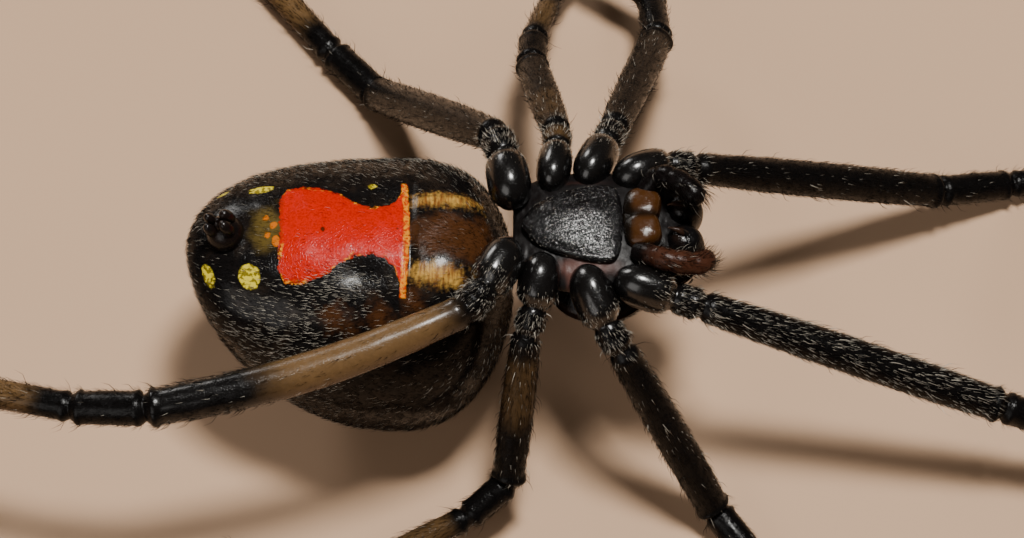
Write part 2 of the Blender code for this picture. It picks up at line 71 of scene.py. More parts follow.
# Front body
MIDLINE = 0.3
CARAPACE_REAR = 3.85
CARAPACE_FRONT = 8.0
CARAPACE_HALF_WIDTH = 1.9
HEAD_HALF_WIDTH = 1.05
MARGIN_HEIGHT = 5.0
CARAPACE_DEPTH = 1.4
CORE_RISE = 0.95
EYE_RADIUS = 0.11
EYE_ROWS = ((7.74, 0.62, 0.27), (7.42, 0.98, 0.25))    # along X, below the margin, spacing
STERNUM_REAR = 3.42
STERNUM_FRONT = 5.95
STERNUM_HALF_WIDTH = 1.04
STERNUM_TOP = 7.0
STERNUM_BOTTOM = 6.3
STERNUM_FLARE = 0.09       # how far the shield's thin edge reaches out over the solid
MEMBRANE = (3.2, 7.6)      # the soft skin between the leg roots, from and to along X
MEMBRANE_HALF_WIDTH = 1.7
MEMBRANE_HEIGHT = 6.15
MEMBRANE_HALF_DEPTH = 0.58

# Legs, as in the solids: the links from the body out
LINKS = ("coxa", "trochanter", "femur", "patella", "tibia", "metatarsus", "tarsus")
LENGTHS = {
    1: (1.4, 0.78, 8.4, 2.3, 5.9, 7.9, 2.4),
    2: (1.45, 0.75, 6.0, 1.9, 3.6, 4.6, 1.6),
    3: (1.25, 0.68, 4.5, 1.4, 2.4, 3.2, 1.4),
    4: (1.35, 0.82, 8.2, 1.9, 5.0, 6.3, 1.9),
}
# Where each leg joins the front body: along X, out from the midline, height
HIPS = {
    ("left", 1): (5.86, 1.52, 6.56),
    ("left", 2): (4.96, 1.27, 6.55),
    ("left", 3): (3.95, 0.91, 6.55),
    ("left", 4): (3.14, 0.76, 6.85),
    ("right", 1): (5.91, 1.38, 6.55),
    ("right", 2): (5.05, 1.36, 6.6),
    ("right", 3): (4.16, 1.18, 6.6),
    ("right", 4): (3.2, 0.6, 6.75),
}
# Half thickness of each link at its start, at its thickest and at its end
RADII = {
    "coxa": (0.25, 0.46, 0.38),
    "trochanter": (0.38, 0.43, 0.38),
    "femur": (0.4, 0.5, 0.44),
    "patella": (0.4, 0.44, 0.38),
    "tibia": (0.36, 0.37, 0.31),
    "metatarsus": (0.28, 0.28, 0.26),
    "tarsus": (0.26, 0.26, 0.16),
}
PAIR_THICKNESS = {1: 0.98, 2: 0.95, 3: 0.9, 4: 1.04}
COXA_TALLNESS = 1.2        # a coxa is this much deeper than wide
# Half thickness of the soft leg roots, which swell until they touch each other
COXA_SWELL = {
    ("left", 1): 0.53, ("left", 2): 0.54, ("left", 3): 0.54, ("left", 4): 0.56,
    ("right", 1): 0.52, ("right", 2): 0.5, ("right", 3): 0.45, ("right", 4): 0.56,
}
# Stance: heading and rise of each link in degrees; heading 0 is +X and 90 the spider's right
STANCE = {
    ("left", 1): ((-15, -11), (-11, -14), (-10, -20.5), (-10.5, -18.5), (-9, -12.5), (-7, -6.5), (-5, -3)),
    ("left", 2): ((-67, -21), (-49.5, -32.5), (-40.5, -56), (-52, -8), (-56, -1), (-60, -1.5), (-62, -4.5)),
    ("left", 3): ((-100, -25), (-114, -38), (-101, -57.5), (-143, -18), (-158, -12), (176, -12), (160, -5)),
    ("left", 4): ((-117, 3), (-128, 6), (-163.5, -5.5), (174.5, -9.5), (167, -3.5), (163, -1.5),
                  (160, -0.5)),
    ("right", 1): ((26, -16), (5.5, -19), (15.5, -33), (17.5, -20), (8, -1), (6, -1), (5, -4)),
    ("right", 2): ((68, -20), (70.5, -25), (74.5, -34), (93.5, -23), (146, 12), (150, 8.5), (152, 3)),
    ("right", 3): ((82, -12.5), (90, -23), (100, -35.5), (87, -28), (76, -31), (62, -23.5), (58, -6)),
    ("right", 4): ((99.5, -2), (105.5, -18), (125, -45.5), (132, -3), (129, -1), (127, -1.5), (126, -3.5)),
}
FEMUR_BOW = {("left", 4): -0.35}
JOINT_SOFTNESS = (0.1, 0.16, 0.17, 0.12, 0.1, 0.03)    # how far each joint is drawn in
JOINT_ROUND = 0.34         # half the length over which the leg's axis turns at a joint
LEG_COLUMNS = 40

# Mouthparts and feelers
MOUTH_MIDLINE = 0.42
LABIUM = (6.18, 6.4)
ENDITE_REAR = 6.14
ENDITE_FRONT = 6.86
ENDITE_HALF_WIDTH = 0.28
ENDITE_HALF_DEPTH = 0.34
ENDITE_SPREAD = (0.62, 0.46)
ENDITE_HEIGHTS = (6.66, 6.8)
ENDITE_WIDER = 0.19        # the soft inner edges reach this far in from the solids
CHELICERA_X = 7.45
CHELICERA_LENGTH = 1.42
CHELICERA_SPREAD = 0.5
CHELICERA_RADIUS = 0.4
CHELICERA_LEAN = 0.35
CHELICERA_TOE_IN = 0.06
FANG_RADIUS = 0.13
FANG_REACH = (0.55, 0.12, 0.12)
PALP_RADII = (0.2, 0.27, 0.25)
PALP_ROUTES = {
    "left": ((6.66, -0.76, 6.98), (7.2, -0.97, 7.08), (7.8, -0.96, 6.93), (8.16, -0.62, 6.76)),
    "right": ((6.85, 1.4, 7.15), (7.22, 1.2, 7.36), (7.6, 0.88, 7.45), (7.88, 0.5, 7.36)),
}
PALP_ROOTS = {"left": (6.3, -0.5, 6.72), "right": (6.5, 1.15, 6.76)}
PEDICEL = ((3.25, 0.16, 5.72), (3.67, 0.25, 5.66))
PEDICEL_RADIUS = 0.3
SPINNERET_X = -4.0
SPINNERET_BASE = 0.48
SPINNERET_LIFT = 0.3
SPINNERET_CONES = ((0.2, 0.19, 0.16, 0.5), (-0.02, 0.1, 0.09, 0.36), (-0.22, 0.18, 0.14, 0.46))

# Cuticles: their black, their brown, least and most roughness, specular, cells and depth in mm
CUTICLES = {
    "leg_cuticle": ((0.003, 0.0026, 0.0026), (0.1, 0.056, 0.023), 0.18, 0.3, 0.12, 0.5, 0.02),
    "body_cuticle": ((0.003, 0.0026, 0.0028), (0.05, 0.02, 0.009), 0.15, 0.25, 0.2, 0.8, 0.014),
    "soft_cuticle": ((0.004, 0.003, 0.003), (0.062, 0.024, 0.018), 0.42, 0.55, 0.2, 0.3, 0.02),
    "amber_cuticle": ((0.004, 0.0025, 0.0015), (0.038, 0.014, 0.0035), 0.2, 0.3, 0.24, 0.5, 0.014),
    "palp_cuticle": ((0.004, 0.003, 0.003), (0.042, 0.015, 0.008), 0.2, 0.32, 0.12, 0.5, 0.014),
    "sternum_cuticle": ((0.003, 0.0026, 0.0028), (0.05, 0.02, 0.01), 0.15, 0.22, 0.33, 1.0, 0.045),
    "eye_lens": ((0.004, 0.004, 0.005), (0.02, 0.02, 0.025), 0.06, 0.1, 0.7, 0.0, 0.001),
}

# Colours of the abdomen and its markings
MARKING = {
    "black": (0.004, 0.0033, 0.0033, 1.0),
    "worn black": (0.014, 0.009, 0.006, 1.0),
    "brown": (0.045, 0.016, 0.005, 1.0),
    "olive": (0.075, 0.05, 0.012, 1.0),
    # darker cream of the fold hollows: painted shade
    "cream fold shade": (0.16, 0.06, 0.012, 1.0),
    "cream": (0.42, 0.24, 0.05, 1.0),
    "dark lemon": (0.16, 0.12, 0.008, 1.0),
    "lemon": (0.6, 0.48, 0.03, 1.0),
    "orange": (0.42, 0.1, 0.002, 1.0),
    "dark rim": (0.14, 0.015, 0.001, 1.0),
    "rim": (0.6, 0.21, 0.01, 1.0),
    "red rim": (0.3, 0.008, 0.0005, 1.0),
    "deep red": (0.3, 0.002, 0.0001, 1.0),
    "red": (0.42, 0.006, 0.0002, 1.0),
    "dark bar": (0.42, 0.035, 0.001, 1.0),
    "bar": (0.6, 0.2, 0.008, 1.0),
    "dot": (0.06, 0.008, 0.002, 1.0),
}

# Camera: the view of the photo, 40 pixels to a millimetre at the belly
PHOTO_WIDTH = 1024
PHOTO_HEIGHT = 538
PIXELS_PER_MM = 40.0
CAMERA_TILT = 28.0         # degrees off straight down, towards the spider's left
CAMERA_DISTANCE = 90.0
SENSOR = 36.0
BELLY_PIXEL = (385.0, 230.0)   # where the belly above the origin lies in the photo


# Small numerical tools

def smoothstep(low, high, value):
    """0 below low, 1 above high, and a smooth S between them."""
    share = np.clip((value - low) / (high - low), 0.0, 1.0)
    return share * share * (3.0 - 2.0 * share)


def bump(value, centre, width):
    """A bell curve of height 1 about its centre."""
    return np.exp(-((value - centre) / width) ** 2)


def ripple(points, size, seed, waves=7):
    """Smooth noise from -1 to 1: sine waves of one length that run in random directions."""
    draw = np.random.default_rng(seed)
    ways = draw.normal(size=(waves, 3))
    ways /= np.linalg.norm(ways, axis=1, keepdims=True)
    ways *= (2.0 * math.pi / size) * draw.uniform(0.7, 1.4, (waves, 1))
    phase = draw.uniform(0.0, 2.0 * math.pi, waves)
    total = np.zeros(points.shape[:-1])
    for way, start in zip(ways, phase):
        total += np.sin(points @ way + start)
    return total / math.sqrt(waves) / 1.6


def unit(vectors):
    """Vectors of length one in the same directions."""
    length = np.linalg.norm(vectors, axis=-1, keepdims=True)
    return vectors / np.maximum(length, 1e-9)


def spaced(count):
    """Values from 0 to 1, closer together near both ends, without the ends themselves."""
    return 0.5 - 0.5 * np.cos(np.pi * np.arange(1, count + 1) / (count + 1))


def rings(along, columns):
    """Both parameters of a grid of rings: the places along it, and even turns round it."""
    return np.meshgrid(along, 2.0 * np.pi * np.arange(columns) / columns, indexing="ij")


def grid_faces(rows, columns):
    """Four-sided faces of a grid whose last column joins its first, and the two end fans."""
    r, c = np.meshgrid(np.arange(rows - 1), np.arange(columns), indexing="ij")
    here = r * columns + c
    beside = r * columns + (c + 1) % columns
    quads = np.stack((here, beside, beside + columns, here + columns), -1).reshape(-1, 4)
    c = np.arange(columns)
    after = (c + 1) % columns
    first = np.stack((after, c, np.full(columns, rows * columns)), -1)
    base = (rows - 1) * columns
    last = np.stack((base + c, base + after, np.full(columns, rows * columns + 1)), -1)
    return quads, np.concatenate((first, last))


def signed_volume(points, tris):
    """Volume inside the triangles, positive where they face outward."""
    a, b, c = (points[tris[:, k]] for k in range(3))
    return float((a * np.cross(b, c)).sum()) / 6.0


def add_piece(name, points, quads, tris, material, fields=None, uv=None, nodes=()):
    """Put arrays into a mesh object at the origin; it rides on the body and stands for its nodes."""
    mesh = bpy.data.meshes.new(name)
    corners = np.concatenate((quads.ravel(), tris.ravel())).astype(np.int32)
    starts = np.concatenate((np.arange(len(quads)) * 4, len(quads) * 4 + np.arange(len(tris)) * 3))
    mesh.vertices.add(len(points))
    mesh.vertices.foreach_set("co", (points * MM).astype(np.float32).ravel())
    mesh.loops.add(len(corners))
    mesh.loops.foreach_set("vertex_index", corners)
    mesh.polygons.add(len(starts))
    mesh.polygons.foreach_set("loop_start", starts.astype(np.int32))
    mesh.update(calc_edges=True)
    for field, values in (fields or {}).items():
        layer = mesh.attributes.new(field, "FLOAT", "POINT")
        layer.data.foreach_set("value", np.asarray(values, np.float32).ravel())
    if uv is not None:
        layer = mesh.uv_layers.new(name="OFBake")
        layer.data.foreach_set("uv", uv[corners].astype(np.float32).ravel())
    mesh.shade_smooth()
    mesh.materials.append(material)
    piece = bpy.data.objects.new(name, mesh)
    bpy.context.collection.objects.link(piece)
    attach(piece, "root")
    if nodes:
        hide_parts(*nodes)
    return piece


def closed_tube(grid, start_pole, end_pole):
    """Points, quads and triangles of a grid of rings closed by a pole at each end, facing out."""
    rows, columns = grid.shape[:2]
    points = np.concatenate((grid.reshape(-1, 3), [start_pole], [end_pole]))
    quads, tris = grid_faces(rows, columns)
    split = np.concatenate((quads[:, :3], quads[:, [0, 2, 3]], tris))
    if signed_volume(points, split) < 0.0:
        quads = quads[:, ::-1]
        tris = tris[:, ::-1]
    return points, quads, tris


def join(shapes):
    """Several closed shapes as one set of arrays."""
    points, quads, tris, offset = [], [], [], 0
    for shape_points, shape_quads, shape_tris in shapes:
        points.append(shape_points)
        quads.append(shape_quads + offset)
        tris.append(shape_tris + offset)
        offset += len(shape_points)
    return np.concatenate(points), np.concatenate(quads), np.concatenate(tris)


def pod(start, end, wide, tall, rows=26, columns=32, blunt=0.45, up=(0.0, 0.0, 1.0), square=1.0):
    """An egg: ellipses carried along a line, whose size is a power of a sine of the way along. The
    power square of cosine and sine, below 1, turns the ellipses into rounded boxes."""
    start = np.array(start, float)
    end = np.array(end, float)
    along = unit(end - start)
    across = np.cross(along, np.array(up, float))
    if np.linalg.norm(across) < 0.3:
        across = np.array((0.0, 1.0, 0.0))
    across = unit(across)
    upward = np.cross(across, along)
    share = spaced(rows)[:, None, None]
    turn = (2.0 * np.pi * np.arange(columns) / columns)[None, :, None]
    size = np.sin(np.pi * share) ** blunt
    side = np.sign(np.cos(turn)) * np.abs(np.cos(turn)) ** square
    rise = np.sign(np.sin(turn)) * np.abs(np.sin(turn)) ** square
    grid = start + (end - start) * share + size * (wide * side * across + tall * rise * upward)
    return closed_tube(grid, start, end)


def horn(start, crest, tip, radius, rows=10, columns=10):
    """A curved spike: circles that shrink along a quadratic curve from start over crest to tip."""
    start, crest, tip = (np.array(p, float) for p in (start, crest, tip))
    share = np.linspace(0.0, 0.96, rows)[:, None]
    centre = (1 - share) ** 2 * start + 2 * share * (1 - share) * crest + share ** 2 * tip
    along = unit(2 * (1 - share) * (crest - start) + 2 * share * (tip - crest))
    across = unit(np.cross(along, np.array((0.13, 0.31, 0.94))))
    upward = np.cross(across, along)
    turn = (2.0 * np.pi * np.arange(columns) / columns)[None, :, None]
    size = (radius * (1.0 - 0.92 * share ** 1.3))[:, None, :]
    grid = centre[:, None, :] + size * (np.cos(turn) * across[:, None, :]
                                        + np.sin(turn) * upward[:, None, :])
    return closed_tube(grid, start, tip)


# Hair

def hair_shapes(root, normal, lie, length, radius, lift, curl):
    """Hairs as three-sided tapered spikes. Each runs from its root along a mix of the surface's
    normal and its lie, then bends over towards the lie; rings at root and middle, then a point."""
    lift = lift[:, None]
    first = unit(normal * np.sin(lift) + lie * np.cos(lift))
    bent = lift * (1.0 - curl[:, None])
    second = unit(normal * np.sin(bent) + lie * np.cos(bent))
    side = unit(np.cross(first, normal + 0.01))
    over = np.cross(side, first)
    length = length[:, None]
    base = root - normal * 0.02
    middle = base + first * length * 0.5
    tip = middle + second * length * 0.5
    points = np.empty((len(root), 7, 3))
    for k in range(3):
        angle = 2.0 * math.pi * k / 3.0
        spoke = (side * math.cos(angle) + over * math.sin(angle)) * radius[:, None]
        points[:, k] = base + spoke
        points[:, 3 + k] = middle + spoke * 0.75
    points[:, 6] = tip
    points[..., 2] = np.maximum(points[..., 2], FLOOR)
    return points


def add_hair(name, hair, material):
    """One or more pieces of hair. hair holds arrays with one row for each hair."""
    count = len(hair["root"])
    pieces = max(1, math.ceil(count / HAIR_LIMIT))
    quad = np.array([[0, 1, 4, 3], [1, 2, 5, 4], [2, 0, 3, 5]])
    tri = np.array([[3, 4, 6], [4, 5, 6], [5, 3, 6], [0, 2, 1]])
    patch = np.array([(0, 0), (0.4, 0), (0.8, 0), (0, 0.5), (0.4, 0.5), (0.8, 0.5), (0.4, 1)]) * HAIR_PATCH
    for number in range(pieces):
        part = slice(number, count, pieces)
        shapes = hair_shapes(*(hair[key][part] for key in
                               ("root", "normal", "lie", "length", "radius", "lift", "curl")))
        amount = len(shapes)
        step = (np.arange(amount) * 7)[:, None, None]
        # the pale field paints glints of light on single hairs; brown is their own colour
        fields = {key: np.repeat(hair[key][part], 7) for key in ("painted_glint", "brown")}
        uv = (hair["uv"][part][:, None, :] + patch[None, :, :]).reshape(-1, 2)
        title = name if pieces == 1 else "%s_%d" % (name, number + 1)
        add_piece(title, shapes.reshape(-1, 3), (quad[None] + step).reshape(-1, 4),
                  (tri[None] + step).reshape(-1, 3), material, fields, uv)


def hair_rows(root, normal, lie, length, radius, lift, curl, painted_glint, brown, uv):
    """Collect the arrays of one coat; single values are spread over all its hairs."""
    count = len(root)

    def spread(value):
        return np.broadcast_to(np.asarray(value, float), (count,)).copy()

    return {"root": root, "normal": normal, "lie": lie, "length": spread(length),
            "radius": spread(radius), "lift": spread(lift), "curl": spread(curl),
            "painted_glint": spread(painted_glint), "brown": spread(brown), "uv": uv}


def surface_frame(surface, u, v, du, dv):
    """Points, outward normals and the direction of growing u, by small steps on a surface."""
    here = surface(u, v)
    along = unit(surface(u + du, v) - surface(u - du, v))
    around = unit(surface(u, v + dv) - surface(u, v - dv))
    return here, unit(np.cross(around, along)), along


# Finishes

def new_finish(name):
    """A material, its node tree and its shader."""
    material = bpy.data.materials.new(name)
    material.use_nodes = True
    tree = material.node_tree
    shader = tree.nodes["Principled BSDF"]
    return material, tree, shader


def add_node(tree, kind, settings=None, **inputs):
    """A node with its settings, and its inputs set to values or linked from other sockets. An
    input is given by its name, or by the letter i and its number."""
    node = tree.nodes.new(kind)
    for key, value in (settings or {}).items():
        setattr(node, key, value)
    for key, value in inputs.items():
        socket = node.inputs[int(key[1:]) if key[0] == "i" else key]
        if isinstance(value, bpy.types.NodeSocket):
            tree.links.new(value, socket)
        else:
            socket.default_value = value
    return node


def field(tree, name):
    """The value that a piece's points carry under a name."""
    return add_node(tree, "ShaderNodeAttribute", {"attribute_name": name}).outputs["Fac"]


def object_point(tree):
    """The point in the piece's own axes."""
    return tree.nodes.new("ShaderNodeTexCoord").outputs["Object"]


def mix_colour(tree, share, first, second):
    """A blend from the first colour to the second."""
    return add_node(tree, "ShaderNodeMix", {"data_type": "RGBA"}, i0=share, i6=first,
                    i7=second).outputs[2]


def math_node(tree, operation, first, second=0.0, third=0.0):
    """One sum, product or other operation."""
    return add_node(tree, "ShaderNodeMath", {"operation": operation}, i0=first, i1=second,
                    i2=third).outputs[0]


def ramp(tree, value, low, high, to_low=0.0, to_high=1.0):
    """A smooth step of one value from low to high."""
    return add_node(tree, "ShaderNodeMapRange", {"interpolation_type": "SMOOTHSTEP"}, i0=value,
                    i1=low, i2=high, i3=to_low, i4=to_high).outputs[0]


def noise(tree, point, size_mm, detail=3.0, roughness=0.55):
    """Noise whose features are about size_mm across."""
    return add_node(tree, "ShaderNodeTexNoise", None, Vector=point, Scale=1.0 / (size_mm * MM),
                    Detail=detail, Roughness=roughness).outputs["Fac"]


def make_relief_group():
    """Fine relief of cuticle: soft swells, a net of shallow cells and scattered pores, as a height
    for bump, together with a mask of worn gloss."""
    group = bpy.data.node_groups.new("cuticle_relief", "ShaderNodeTree")
    face = group.interface
    face.new_socket("Point", in_out="INPUT", socket_type="NodeSocketVector")
    face.new_socket("Cells", in_out="INPUT", socket_type="NodeSocketFloat")
    face.new_socket("Height", in_out="OUTPUT", socket_type="NodeSocketFloat")
    face.new_socket("Wear", in_out="OUTPUT", socket_type="NodeSocketFloat")
    start = group.nodes.new("NodeGroupInput")
    end = group.nodes.new("NodeGroupOutput")
    point = start.outputs["Point"]
    swell = noise(group, point, 0.22, 4.0)
    grain = noise(group, point, 0.045, 2.0)
    cells = add_node(group, "ShaderNodeTexVoronoi", {"feature": "DISTANCE_TO_EDGE"}, Vector=point,
                     Scale=1.0 / (0.07 * MM)).outputs["Distance"]
    net = math_node(group, "MULTIPLY", ramp(group, cells, 0.0, 0.12), start.outputs["Cells"])
    height = math_node(group, "ADD", math_node(group, "MULTIPLY", swell, 0.8),
                       math_node(group, "MULTIPLY", grain, 0.35))
    height = math_node(group, "ADD", height, math_node(group, "MULTIPLY", net, 0.25))
    group.links.new(height, end.inputs["Height"])
    group.links.new(ramp(group, swell, 0.35, 0.7), end.inputs["Wear"])
    return group


def use_relief(tree, relief, cells):
    """The relief group at the point, with the given weight of its cells."""
    node = tree.nodes.new("ShaderNodeGroup")
    node.node_tree = relief
    tree.links.new(object_point(tree), node.inputs["Point"])
    node.inputs["Cells"].default_value = cells
    return node


def finish_surface(tree, shader, colour, roughness, height, depth_mm, strength=0.6):
    """Connect colour, roughness and a bump of the given depth to the shader."""
    tree.links.new(colour, shader.inputs["Base Color"])
    tree.links.new(roughness, shader.inputs["Roughness"])
    bump_node = add_node(tree, "ShaderNodeBump", None, Strength=strength, Height=height)
    bump_node.inputs["Distance"].default_value = depth_mm * MM
    tree.links.new(bump_node.outputs[0], shader.inputs["Normal"])


def cuticle_finish(name, relief, black, brown, rough_low, rough_high, specular, cells, depth_mm):
    """Cuticle that turns from black to brown with the field named brown, and carries a clear gloss
    where the field named gloss is high."""
    material, tree, shader = new_finish(name)
    worn = use_relief(tree, relief, cells)
    share = math_node(tree, "ADD", field(tree, "brown"),
                      math_node(tree, "MULTIPLY_ADD", noise(tree, object_point(tree), 0.5), 0.3, -0.15))
    colour = mix_colour(tree, ramp(tree, share, 0.08, 0.92), (*black, 1.0), (*brown, 1.0))
    mottle = math_node(tree, "MULTIPLY_ADD", noise(tree, object_point(tree), 0.12), 0.5, 0.75)
    colour = add_node(tree, "ShaderNodeVectorMath", {"operation": "SCALE"}, i0=colour,
                      i3=mottle).outputs[0]
    roughness = ramp(tree, worn.outputs["Wear"], 0.0, 1.0, rough_low, rough_high)
    finish_surface(tree, shader, colour, roughness, worn.outputs["Height"], depth_mm)
    tree.links.new(math_node(tree, "MULTIPLY", field(tree, "gloss"), 0.8), shader.inputs["Coat Weight"])
    shader.inputs["Coat Roughness"].default_value = 0.2
    shader.inputs["Specular IOR Level"].default_value = specular
    return material


def hair_finish(name, dark, brown, painted_glint):
    """Hair from dark to a pale colour by its own field, the pale being painted glints of light on black
    hair, and brown where the skin below is brown.
    """
    material, tree, shader = new_finish(name)
    colour = mix_colour(tree, field(tree, "brown"), (*dark, 1.0), (*brown, 1.0))
    colour = mix_colour(tree, field(tree, "painted_glint"), colour, (*painted_glint, 1.0))
    tree.links.new(colour, shader.inputs["Base Color"])
    tree.links.new(ramp(tree, field(tree, "painted_glint"), 0.0, 1.0, 0.42, 0.36), shader.inputs["Roughness"])
    shader.inputs["Specular IOR Level"].default_value = 0.06
    return material


# Legs

def direction(heading, rise):
    """The direction with a heading round +Z from +X and a rise above level, in degrees."""
    heading = math.radians(heading)
    rise = math.radians(rise)
    return np.array((math.cos(rise) * math.cos(heading), math.cos(rise) * math.sin(heading),
                     math.sin(rise)))


def leg_plan(side, pair):
    """Joints of a leg and how far along it each lies."""
    sign = -1.0 if side == "left" else 1.0
    x, outward, height = HIPS[(side, pair)]
    joints = [np.array((x, MIDLINE + sign * outward, height))]
    for angles, length in zip(STANCE[(side, pair)], LENGTHS[pair]):
        joints.append(joints[-1] + direction(*angles) * length)
    stations = np.concatenate(([0.0], np.cumsum(LENGTHS[pair])))
    return {"side": side, "pair": pair, "joints": np.array(joints), "stations": stations,
            "length": stations[-1]}


def leg_axis(leg, s):
    """The leg's axis: the broken line through its joints, averaged over a short window so that it
    turns smoothly at each joint and runs through the links' middles as the solids do."""
    stations = leg["stations"]
    joints = leg["joints"]
    ahead = joints[-1] + unit(joints[-1] - joints[-2])
    behind = joints[0] - unit(joints[1] - joints[0])
    knots = np.concatenate(([stations[0] - 1.0], stations, [stations[-1] + 1.0]))
    line = np.concatenate(([behind], joints, [ahead]))
    total = np.zeros(np.shape(s) + (3,))
    weights = 0.5 + 0.5 * np.cos(np.pi * np.linspace(-0.9, 0.9, 9))
    weights /= weights.sum()
    for offset, weight in zip(np.linspace(-JOINT_ROUND, JOINT_ROUND, 9), weights):
        at = s + offset
        total += weight * np.stack([np.interp(at, knots, line[:, k]) for k in range(3)], -1)
    bow = FEMUR_BOW.get((leg["side"], leg["pair"]), 0.0)
    across = unit(np.cross(joints[3] - joints[2], np.array((0.0, 0.0, 1.0))))
    share = np.clip((s - stations[2]) / (stations[3] - stations[2]), 0.0, 1.0)
    return total + across * (bow * np.sin(np.pi * share))[..., None]


def leg_radius(leg, s, turn):
    """Half thickness along a leg: each link swells between its ends, its far end has a raised
    collar, and the joint behind the collar is drawn in where the soft membrane lies. The first
    link is an egg that blends into the next."""
    stations = leg["stations"]
    link = np.clip(np.searchsorted(stations, s, side="right") - 1, 0, 6)
    table = np.array([RADII[name] for name in LINKS]) * PAIR_THICKNESS[leg["pair"]]
    start, thick, end = (table[link, k] for k in range(3))
    share = np.clip((s - stations[link]) / (stations[link + 1] - stations[link]), 0.0, 1.0)
    swell = thick - 0.5 * (start + end)
    radius = start + (end - start) * share + swell * np.sin(np.pi * share) ** 0.6
    for number, soft in enumerate(JOINT_SOFTNESS, 1):
        joint = stations[number]
        radius *= 1.0 - soft * bump(s, joint, 0.10)
        radius *= 1.0 + 0.5 * soft * bump(s, joint - 0.2, 0.11)
        radius *= 1.0 + 0.3 * soft * bump(s, joint + 0.22, 0.13)
        knob = 0.05 * (bump(s, joint - 0.16, 0.1) + bump(s, joint + 0.18, 0.1)) * (number < 5)
        radius += knob * PAIR_THICKNESS[leg["pair"]] * np.cos(turn) ** 6 * (number > 2)
    tip = smoothstep(leg["length"] - 0.3, leg["length"], s)
    radius *= 1.0 - 0.6 * tip
    middle = 0.5 * (stations[1] - COXA_ROOT)
    reach = np.where(s < middle, middle + COXA_ROOT + 0.02, 1.55 * (stations[1] - middle))
    egg = np.sqrt(np.maximum(1.0 - np.abs((s - middle) / reach) ** 2.3, 0.0004))
    inner = 1.0 - smoothstep(stations[1] - 0.3, stations[1], s)
    return (radius - SKIN_INSET) * (1.0 - inner) + COXA_SWELL[(leg["side"], leg["pair"])] * egg * inner


def leg_surface(leg, s, turn):
    """The leg's skin: ellipses about its axis, deeper than wide on the coxa, kept off the floor."""
    centre = leg_axis(leg, s)
    along = unit(leg_axis(leg, s + 0.02) - leg_axis(leg, s - 0.02))
    across = unit(np.cross(along, np.array((0.0, 0.0, 1.0))))
    upward = np.cross(across, along)
    radius = leg_radius(leg, s, turn)
    tall = 1.0 + (COXA_TALLNESS - 1.0) * (1.0 - smoothstep(1.0, 1.8, s))
    offset = (across * np.cos(turn)[..., None]
              + upward * (np.sin(turn) * tall)[..., None]) * radius[..., None]
    points = centre + offset
    points += offset * (0.012 * ripple(points, 0.7, 11))[..., None]
    points[..., 2] = np.maximum(points[..., 2], FLOOR + 0.01)
    return points


# Brown stretches of each leg: link, from and to as shares of the link, and how brown
BROWN_STRETCHES = {
    ("left", 1): ((4, 0.1, 0.9, 0.15), (5, 0.1, 0.9, 0.25), (6, 0.0, 0.9, 0.4)),
    ("left", 2): ((2, 0.15, 0.6, 0.08), (4, 0.1, 0.9, 0.6), (5, 0.05, 0.95, 0.6), (6, 0.0, 0.9, 0.5)),
    ("left", 3): ((2, 0.1, 0.6, 0.5), (4, 0.1, 0.85, 0.6), (5, 0.05, 0.95, 0.65), (6, 0.0, 0.9, 0.5)),
    ("left", 4): ((2, 0.02, 0.62, 0.95), (4, 0.16, 0.92, 1.0), (5, 0.06, 0.94, 0.75), (6, 0.0, 0.9, 0.5)),
    ("right", 1): ((4, 0.1, 0.9, 0.15), (5, 0.1, 0.9, 0.25), (6, 0.0, 0.9, 0.4)),
    ("right", 2): ((2, 0.2, 0.7, 0.05), (4, 0.1, 0.9, 0.8), (5, 0.05, 0.95, 0.6), (6, 0.0, 0.9, 0.5)),
    ("right", 3): ((1, 0.1, 0.7, 0.5), (2, 0.05, 0.45, 0.4), (4, 0.1, 0.85, 0.6), (5, 0.05, 0.95, 0.65)),
    ("right", 4): ((2, 0.02, 0.4, 0.1), (4, 0.16, 0.92, 0.9), (5, 0.06, 0.94, 0.75), (6, 0.0, 0.9, 0.5)),
}


def leg_brown(leg, s, turn):
    """How brown the leg is: bands on its links, strongest on top of them."""
    stations = leg["stations"]
    total = np.zeros(np.shape(s))
    for link, low, high, amount in BROWN_STRETCHES[(leg["side"], leg["pair"])]:
        length = stations[link + 1] - stations[link]
        a = stations[link] + low * length
        b = stations[link] + high * length
        soft = min(1.3, 0.25 * (b - a))
        rise = smoothstep(a - soft * 0.5, a + soft, s)
        total += amount * rise * (1.0 - smoothstep(b - soft, b + soft, s))
    return total * (0.8 + 0.2 * np.sin(turn))


def leg_gloss(leg, s):
    """Where a leg shines: its root, and the smooth femur of the left hind leg."""
    stations = leg["stations"]
    root = 1.0 - smoothstep(stations[1] - 0.1, stations[1] + 0.2, s)
    if (leg["side"], leg["pair"]) != ("left", 4):
        return root
    femur = smoothstep(stations[2], stations[2] + 0.3, s)
    return root + 0.5 * femur * (1.0 - smoothstep(stations[3] - 0.4, stations[3], s))


def leg_rows(leg):
    """Stations of the rings: even along the links and closer at the joints."""
    even = np.concatenate((np.arange(-COXA_ROOT, 0.0, 0.04), np.arange(0.0, leg["length"], 0.11)))
    close = [joint + np.arange(-0.4, 0.4, 0.035) for joint in leg["stations"][1:-1]]
    rows = np.unique(np.round(np.concatenate([even] + close), 3))
    rows = rows[rows < leg["length"] - 0.005]
    return rows[np.concatenate(([True], np.diff(rows) > 0.012))]


